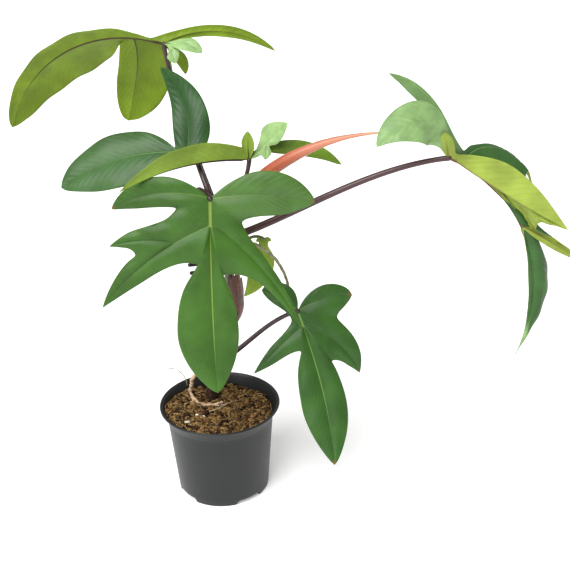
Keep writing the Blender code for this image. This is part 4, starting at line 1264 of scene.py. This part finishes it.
def make_stem(looks):
    """The stem: a tube that swells at each leaf scar, with a ring pressed into the swelling."""
    count, sides = 220, 24
    axis = stem_axis(count)
    radius = spread(STEM_RADII, count)
    scar = np.zeros(count)
    for node in STEM_NODES:
        radius += SCAR_SWELL * np.exp(-((axis[:, 2] - node) / SCAR_REACH) ** 2)
        radius -= SCAR_DEPTH * np.exp(-((axis[:, 2] - node) / SCAR_WIDTH) ** 2)
        scar = np.maximum(scar, np.exp(-((axis[:, 2] - node) / 1.8) ** 2))
    grid = tube_grid(axis, radius, sides)
    lump = ripples(grid, 7, 5) * 0.1
    middle = grid.mean(axis=1, keepdims=True)
    grid = middle + (grid - middle) * (1 + lump[..., None] * 0.35)
    values = {"scar": [tube_values(scar, sides, 0.0)]}
    return closed_piece("stem_axis", [grid], stem_skin(looks), ["stem"], values)


def make_petioles(looks):
    """The leaf stalks: tubes with a shallow groove, thicker where they clasp the stem."""
    skin = stalk_skin(looks)
    sides = 20
    angle = np.linspace(0, 2 * np.pi, sides + 1)
    for name, (*_, thick, thin) in PETIOLES.items():
        route = petiole_route(name)
        count = int(travelled(route)[-1] / 1.6)
        path = smooth_curve(route, count)
        way = np.linspace(0, 1, count)
        clasp = CLASP * np.exp(-(way * travelled(path)[-1] / CLASP_REACH) ** 2)
        knee = KNEE * np.exp(-((1 - way) * travelled(path)[-1] / KNEE_REACH) ** 2)
        radius = thick + (thin - thick) * way + clasp + knee
        radius = radius[:, None] * (1 - 0.06 * np.exp(-((angle - np.pi / 2) / 0.5) ** 2))
        grid = tube_grid(path, radius, sides)
        wide = tube_values(way, sides)
        light = looks.light_share if name == "petiole_right" else 0.0
        young = float(name == "petiole_young")
        values = {"way": [wide], "light": [np.full_like(wide, light)],
                  "young": [np.full_like(wide, young)]}
        closed_piece(name + "_stalk", [grid], skin, [name], values)


def make_spike(looks):
    """The rolled new leaf: a tube whose radius grows round each turn and steps in at a seam.

    The radius is the path's own times 0.95 to 1.05 as the angle goes once round from the seam,
    less a dip of 0.05 in the seam itself, which winds slowly round on its way to the tip.
    """
    count, sides = 130, 36
    path = smooth_curve(arcs(stem_axis(60)[-1], SPIKE), count)
    radius = soften(spread(SPIKE_RADII, count), 12)
    way = np.linspace(0, 1, count)
    angle = np.linspace(0, 2 * np.pi, sides + 1)
    seam = (angle[None] - 1.2 - 2.2 * way[:, None]) % (2 * np.pi) / (2 * np.pi)
    lip = np.exp(-(seam / 0.05) ** 2)
    shape = 0.95 + 0.1 * seam - 0.05 * lip
    grid = tube_grid(path, radius[:, None] * shape, sides)
    dark = np.maximum(lip, np.exp(-((1 - seam) / 0.03) ** 2))
    values = {"way": [tube_values(way, sides)], "seam": [tube_values(dark, sides, 0.0)]}
    return closed_piece("rolled_leaf", [grid], spike_skin(looks), ["new_leaf"], values)


def make_sheath(looks):
    """The old sheath: a scale curled round the stem, with a torn wavy top and rolled sides.

    A row is an arc about the sheath's axis; its radius grows towards the two sides, where the
    scale flares away, and sine waves move the rows up and down, most of all at the top.
    """
    rows, columns = 60, 49
    axis = np.array([stem_at(height) for height in np.linspace(*SHEATH_HEIGHTS, rows)])
    axis = axis + SHEATH_SHIFT
    radius = spread(SHEATH_RADII, rows)[:, None]
    facing = np.arctan2(SHEATH_FACING[1], SHEATH_FACING[0])
    side = np.linspace(-1, 1, columns)[None]
    way = np.linspace(0, 1, rows)[:, None]
    angle = facing + np.radians(SHEATH_SPREAD) * side * (0.8 + 0.2 * np.cos(3 * way))
    flare = 1 + 0.12 * side ** 4 + 0.02 * np.sin(9 * side + 5 * way)
    ring = np.stack([np.cos(angle), np.sin(angle), 0 * angle], axis=-1)
    grid = axis[:, None] + radius[..., None] * flare[..., None] * ring
    torn = 1.8 * np.sin(5.0 * side + 0.6) + 1.2 * np.sin(13 * side) - 5.0 * side ** 2
    grid[..., 2] += torn * way ** 3
    values = {"way": [way + 0 * side]}
    points, values, quads, triangles = weld([grid[:, ::-1]], values)
    half = np.full(len(points), SHEATH_HALF)
    *surface, under = sheet_shell(points, values, quads, triangles, half, half)
    skin = sheath_skin(looks)
    return make_piece("sheath_scale", surface, [skin, skin], ["old_sheath"], under)


def make_tie(looks):
    """The plant tie: in from one end, once round the stem and out to the other."""
    centre = stem_at(TIE_HEIGHT)
    steps, rows, sides = 22, 130, 12
    angle = np.radians(np.linspace(*TIE_ARC, steps))
    climb = np.linspace(*TIE_CLIMB, steps)
    loop = np.stack([centre[0] + TIE_LOOP_RADIUS * np.cos(angle),
                     centre[1] + TIE_LOOP_RADIUS * np.sin(angle), TIE_HEIGHT + climb], axis=-1)
    tail = heading(TIE_HEADING, 0.0) * TIE_TAIL
    path = smooth_curve(np.vstack([loop[0] + tail, loop, loop[-1] + tail]), rows)
    grid = tube_grid(path, np.full(rows, TIE_RADIUS), sides)
    skin = plain_skin("tie_plastic", looks.tie_colour[:], 0.45, 2.0, 0.05)
    return closed_piece("tie_loop", [grid], skin, ["plant_tie"])


def on_soil(places, radius, arch=0.0):
    """Points lying on the soil, or arching over it."""
    places = np.array(places, float)
    share = np.linspace(0, 1, len(places))
    heights = soil_height(places[:, 0], places[:, 1]) + radius + ROOT_LIFT
    return np.column_stack([places, heights + arch * np.sin(np.pi * share)])


def root_grid(points, thick, thin, seed, sides=14, knobs=0.14):
    """A knobbly root: a tube whose radius wanders and whose path wriggles a little."""
    rough = smooth_curve(points, 40)
    count = max(16, int(travelled(rough)[-1] / 0.9))
    path = smooth_curve(points, count)
    way = np.linspace(0, 1, count)
    wriggle = np.stack([ripples(path, 9, seed + k) for k in range(3)], axis=-1)
    path = path + 2.5 * knobs * thin * wriggle
    radius = (thick + (thin - thick) * way) * (1 + knobs * ripples(path, 5, seed + 7))
    return tube_grid(path, radius, sides)


def make_roots(looks):
    """The aerial root and the roots that lie on the soil, with a few short side roots."""
    tan = root_skin("root_bark", looks.root_dark[:], looks.root_light[:])
    grey = root_skin("aerial_bark", looks.aerial_dark[:], looks.aerial_light[:])

    def root(name, skin, *shape, **more):
        """One root that stands for the node of its name."""
        grid = root_grid(*shape, **more)
        closed_piece(name + "_bark", [grid], skin, [name])

    stretches, thick, thin = AERIAL_ROOT
    root("aerial_root", grey, arcs(stem_at(AERIAL_HEIGHT), stretches), thick, thin, 31, knobs=0.04)
    falling, lying, thick, thin = THICK_ROOT
    falling = arcs(stem_at(THICK_HEIGHT), falling)
    lying = evenly(arcs(falling[-1], lying), 8)[1:, :2]
    route = np.vstack([evenly(falling, 8), on_soil(lying, thick)])
    root("surface_root", tan, route, thick, thin, 41)
    side_roots = [on_soil(lying[k] + steps, lift)
                  for k, steps, lift in zip(SIDE_ROOT_LEAVES, SIDE_ROOTS, SIDE_ROOT_LIFTS)]
    branches = [root_grid(path, *SIDE_ROOT_RADII, 50 + k, sides=10)
                for k, path in enumerate(side_roots)]
    closed_piece("root_branches", branches, tan)
    route = evenly(arcs(THIN_START, THIN_ROOT), 6)[:, :2]
    route = on_soil(route, THIN_ROOT_RADIUS, THIN_ROOT_ARCH)
    root("thin_root", tan, route, THIN_ROOT_RADIUS, THIN_TIP_RADIUS, 61, sides=10)
    root("hair_root", grey, arcs(HAIR_START, HAIR_ROOT), HAIR_RADIUS, HAIR_TIP_RADIUS, 71, sides=8)


# ---------------------------------------------------------------- stage

def make_stage(looks):
    """A pale floor that glows a little, a white surround, one broad key light and the camera."""
    bpy.ops.mesh.primitive_plane_add(size=FLOOR_SIZE)
    floor = bpy.context.object
    floor.name = "floor"
    net = Net("floor_paper", roughness=0.9, Emission_Strength=looks.floor_glow,
              Emission_Color=(1.0, 1.0, 1.0, 1.0))
    floor.data.materials.append(net.finish(net.mix(net.noise(900), looks.floor_colour[:],
                                                   shade(looks.floor_colour, 1.02))))
    world = bpy.data.worlds.new("surround")
    bpy.context.scene.world = world
    world.use_nodes = True
    background = world.node_tree.nodes["Background"]
    background.inputs["Color"].default_value = (1.0, 1.0, 1.0, 1.0)
    background.inputs["Strength"].default_value = looks.surround
    sky = bpy.data.objects.new("soft_key", bpy.data.lights.new("soft_key", "SUN"))
    sky.data.angle = np.radians(looks.key_spread)
    sky.data.energy = looks.key_strength
    sky.rotation_euler = (np.radians(looks.key_tilt), 0, np.radians(looks.key_turn))
    bpy.context.scene.collection.objects.link(sky)
    camera = bpy.data.objects.new("camera", bpy.data.cameras.new("camera"))
    camera.data.lens = looks.lens
    camera.data.sensor_width = SENSOR_WIDTH
    camera.location = CAMERA_PLACE
    camera.rotation_mode = "ZXY"
    camera.rotation_euler = (np.radians(CAMERA_TILT), 0, np.radians(CAMERA_TURN))
    bpy.context.scene.collection.objects.link(camera)
    bpy.context.scene.camera = camera
    bpy.context.scene.view_settings.view_transform = "Standard"


# ---------------------------------------------------------------- add-on

def length(name, description, default):
    """A length property in metres."""
    return bpy.props.FloatProperty(name=name, description=description, default=default,
                                   unit="LENGTH", precision=4)


def number(name, description, default, **more):
    """A plain number property."""
    return bpy.props.FloatProperty(name=name, description=description, default=default, **more)


def colour(name, description, default):
    """A colour property."""
    return bpy.props.FloatVectorProperty(name=name, description=description, default=default,
                                         subtype="COLOR", size=3, min=0.0, max=1.0)


class PotSettings(bpy.types.PropertyGroup):
    """Sizes and finish of the pot."""

    rim_radius: length("Rim radius", "Radius over the rolled lip", POT_HIGH.x)
    height: length("Height", "From the ground to the lip", POT_HIGH.z)
    foot_radius: length("Foot radius", "Radius of the wall at the ground", 0.0455)
    wall: length("Wall", "Thickness of the wall", 0.0013)
    notch_width: length("Notch width", "Width of a drainage notch", 0.028)
    notch_height: length("Notch height", "Height of a drainage notch", 0.004)
    notch_turn: number("Notch turn", "Degrees round to a notch", 36.0)
    colour: colour("Plastic", "Colour of the plastic", (0.011, 0.0125, 0.012))
    scuff_colour: colour("Scuffs", "Colour of scuffs and dust", (0.06, 0.06, 0.055))
    roughness: number("Roughness", "Roughness of the plastic", 0.36, min=0.0, max=1.0)


class SoilSettings(bpy.types.PropertyGroup):
    """Colours of the soil and how much loose stuff lies on it."""

    dark: colour("Gaps", "Colour in the gaps", (0.012, 0.005, 0.002))
    mid: colour("Peat", "Colour of the peat", (0.066, 0.03, 0.01))
    light: colour("Coir", "Colour of the lighter lumps", (0.17, 0.098, 0.034))
    fibre: colour("Fibres", "Colour of the palest fibres", (0.34, 0.22, 0.09))
    grain: colour("Grains", "Colour of the white grains", (0.9, 0.86, 0.78))
    flake: colour("Flake", "Colour of the bark flake", (0.55, 0.5, 0.38))
    fibre_count: bpy.props.IntProperty(name="Fibres", description="Number of fibres", default=1500)
    crumb_count: bpy.props.IntProperty(name="Crumbs", description="Number of crumbs", default=1700)


class LeafSettings(bpy.types.PropertyGroup):
    """Thickness, swelling and shared colours of the blades."""

    thickness: length("Thickness", "Thickness of a blade between its veins", 0.0005)
    bulge: number("Bulge", "Swelling as a share of the width", 0.09)
    # painted sheen: the colour of a painted reflection that pales some lobes
    painted_sheen_colour: colour("Mint", "Colour of the palest lobes", (0.33, 0.52, 0.2))
    dry_colour: colour("Dry tip", "Colour of a dry tip", (0.16, 0.08, 0.03))


class StalkSettings(bpy.types.PropertyGroup):
    """Colours of the stem, stalks, sheath, tie and roots."""

    stalk_colour: colour("Stalk", "Colour of the leaf stalks", (0.028, 0.012, 0.013))
    stalk_light: colour("Light stalk", "Colour of the long right stalk", (0.055, 0.016, 0.019))
    light_share: number("Light share", "How light the long stalk is", 0.8, min=0.0, max=1.0)
    stem_colour: colour("Stem", "Colour of the stem", (0.12, 0.15, 0.04))
    # the dark base: the stem's woody colour together with painted shade under the front leaf
    stem_base_wood_and_shade: colour("Stem base", "Colour of the woody stem at the soil", (0.03, 0.015, 0.008))
    scar_colour: colour("Scar", "Colour of the leaf scars", (0.1, 0.05, 0.025))
    sheath_colour: colour("Sheath", "Colour of the old sheath", (0.085, 0.02, 0.009))
    # the pale streaks are a painted highlight
    sheath_painted_highlight: colour("Worn sheath", "Colour of its worn streaks", (0.62, 0.4, 0.33))
    tie_colour: colour("Tie", "Colour of the plant tie", (0.008, 0.008, 0.009))
    spike_colour: colour("New leaf", "Colour of the rolled leaf's base", (0.42, 0.075, 0.028))
    spike_light: colour("New leaf above", "Colour of its upper half", (0.55, 0.2, 0.11))
    spike_tip: colour("New leaf tip", "Colour of its tip", (0.45, 0.28, 0.13))
    root_dark: colour("Root streaks", "Colour of the roots' streaks", (0.3, 0.19, 0.1))
    root_light: colour("Root", "Colour of the roots", (0.62, 0.45, 0.3))
    aerial_dark: colour("Aerial root streaks", "Colour of its streaks", (0.16, 0.15, 0.08))
    aerial_light: colour("Aerial root", "Colour of the aerial root", (0.33, 0.33, 0.2))


class StageSettings(bpy.types.PropertyGroup):
    """Floor, light and camera."""

    floor_colour: colour("Floor", "Colour of the floor", (0.93, 0.93, 0.93))
    floor_glow: number("Floor glow", "Lifts the shadow to near white", 0.22)
    surround: number("Surround", "Strength of the white surround", 0.5)
    key_strength: number("Key light", "Strength of the key light", 3.8)
    key_spread: number("Key spread", "Its width in degrees", 50.0)
    key_tilt: number("Key tilt", "Degrees from straight down", 42.0)
    key_turn: number("Key turn", "Degrees round from the front", -35.0)
    lens: number("Lens", "Focal length in millimetres", 75.8)


class PHILODENDRON_OT_pot(bpy.types.Operator):
    """Build the nursery pot"""

    bl_idname = "philodendron.pot"
    bl_label = "Pot"

    def execute(self, context):
        make_pot(context.scene.philodendron_pot)
        return {"FINISHED"}


class PHILODENDRON_OT_soil(bpy.types.Operator):
    """Build the soil with its fibres, crumbs and grains"""

    bl_idname = "philodendron.soil"
    bl_label = "Soil"

    def execute(self, context):
        sizes, looks = context.scene.philodendron_pot, context.scene.philodendron_soil
        make_soil_bed(sizes, looks)
        make_fibres(sizes, looks)
        make_crumbs(sizes, looks)
        make_grains(looks)
        return {"FINISHED"}


class PHILODENDRON_OT_leaves(bpy.types.Operator):
    """Build the lobed leaves"""

    bl_idname = "philodendron.leaves"
    bl_label = "Leaves"

    def execute(self, context):
        for name in LEAVES:
            make_leaf(name, context.scene.philodendron_leaf)
        return {"FINISHED"}


class PHILODENDRON_OT_stalks(bpy.types.Operator):
    """Build the stem and the leaf stalks"""

    bl_idname = "philodendron.stalks"
    bl_label = "Stem and stalks"

    def execute(self, context):
        make_stem(context.scene.philodendron_stalk)
        make_petioles(context.scene.philodendron_stalk)
        return {"FINISHED"}


class PHILODENDRON_OT_new_leaf(bpy.types.Operator):
    """Build the rolled new leaf"""

    bl_idname = "philodendron.new_leaf"
    bl_label = "New leaf"

    def execute(self, context):
        make_spike(context.scene.philodendron_stalk)
        return {"FINISHED"}


class PHILODENDRON_OT_sheath(bpy.types.Operator):
    """Build the old sheath and the plant tie"""

    bl_idname = "philodendron.sheath"
    bl_label = "Sheath and tie"

    def execute(self, context):
        make_sheath(context.scene.philodendron_stalk)
        make_tie(context.scene.philodendron_stalk)
        return {"FINISHED"}


class PHILODENDRON_OT_roots(bpy.types.Operator):
    """Build the aerial root and the surface roots"""

    bl_idname = "philodendron.roots"
    bl_label = "Roots"

    def execute(self, context):
        make_roots(context.scene.philodendron_stalk)
        return {"FINISHED"}


class PHILODENDRON_OT_stage(bpy.types.Operator):
    """Build the floor, the lights and the camera"""

    bl_idname = "philodendron.stage"
    bl_label = "Stage"

    def execute(self, context):
        make_stage(context.scene.philodendron_stage)
        return {"FINISHED"}


SETTINGS = {"philodendron_pot": PotSettings, "philodendron_soil": SoilSettings,
            "philodendron_leaf": LeafSettings, "philodendron_stalk": StalkSettings,
            "philodendron_stage": StageSettings}
OPERATORS = (PHILODENDRON_OT_pot, PHILODENDRON_OT_soil, PHILODENDRON_OT_leaves,
             PHILODENDRON_OT_stalks, PHILODENDRON_OT_new_leaf, PHILODENDRON_OT_sheath,
             PHILODENDRON_OT_roots, PHILODENDRON_OT_stage)


class PHILODENDRON_PT_panel(bpy.types.Panel):
    """The plant's pieces and their settings"""

    bl_label = "Philodendron"
    bl_idname = "PHILODENDRON_PT_panel"
    bl_space_type = "VIEW_3D"
    bl_region_type = "UI"
    bl_category = "Philodendron"

    def draw(self, context):
        for operator in OPERATORS:
            self.layout.operator(operator.bl_idname)
        for attribute, group in SETTINGS.items():
            box = self.layout.box()
            for field in group.__annotations__:
                box.prop(getattr(context.scene, attribute), field)


def register():
    """Register the classes and hang the settings on the scene."""
    for group in SETTINGS.values():
        bpy.utils.register_class(group)
    for operator in OPERATORS:
        bpy.utils.register_class(operator)
    bpy.utils.register_class(PHILODENDRON_PT_panel)
    for attribute, group in SETTINGS.items():
        setattr(bpy.types.Scene, attribute, bpy.props.PointerProperty(type=group))


def unregister():
    """Take the settings and the classes away again."""
    for attribute in SETTINGS:
        delattr(bpy.types.Scene, attribute)
    bpy.utils.unregister_class(PHILODENDRON_PT_panel)
    for operator in reversed(OPERATORS):
        bpy.utils.unregister_class(operator)
    for group in SETTINGS.values():
        bpy.utils.unregister_class(group)


def main():
    register()
    bpy.ops.philodendron.pot()
    bpy.ops.philodendron.soil()
    bpy.ops.philodendron.leaves()
    bpy.ops.philodendron.stalks()
    bpy.ops.philodendron.new_leaf()
    bpy.ops.philodendron.sheath()
    bpy.ops.philodendron.roots()
    bpy.ops.philodendron.stage()


if __name__ == "__main__":
    main()
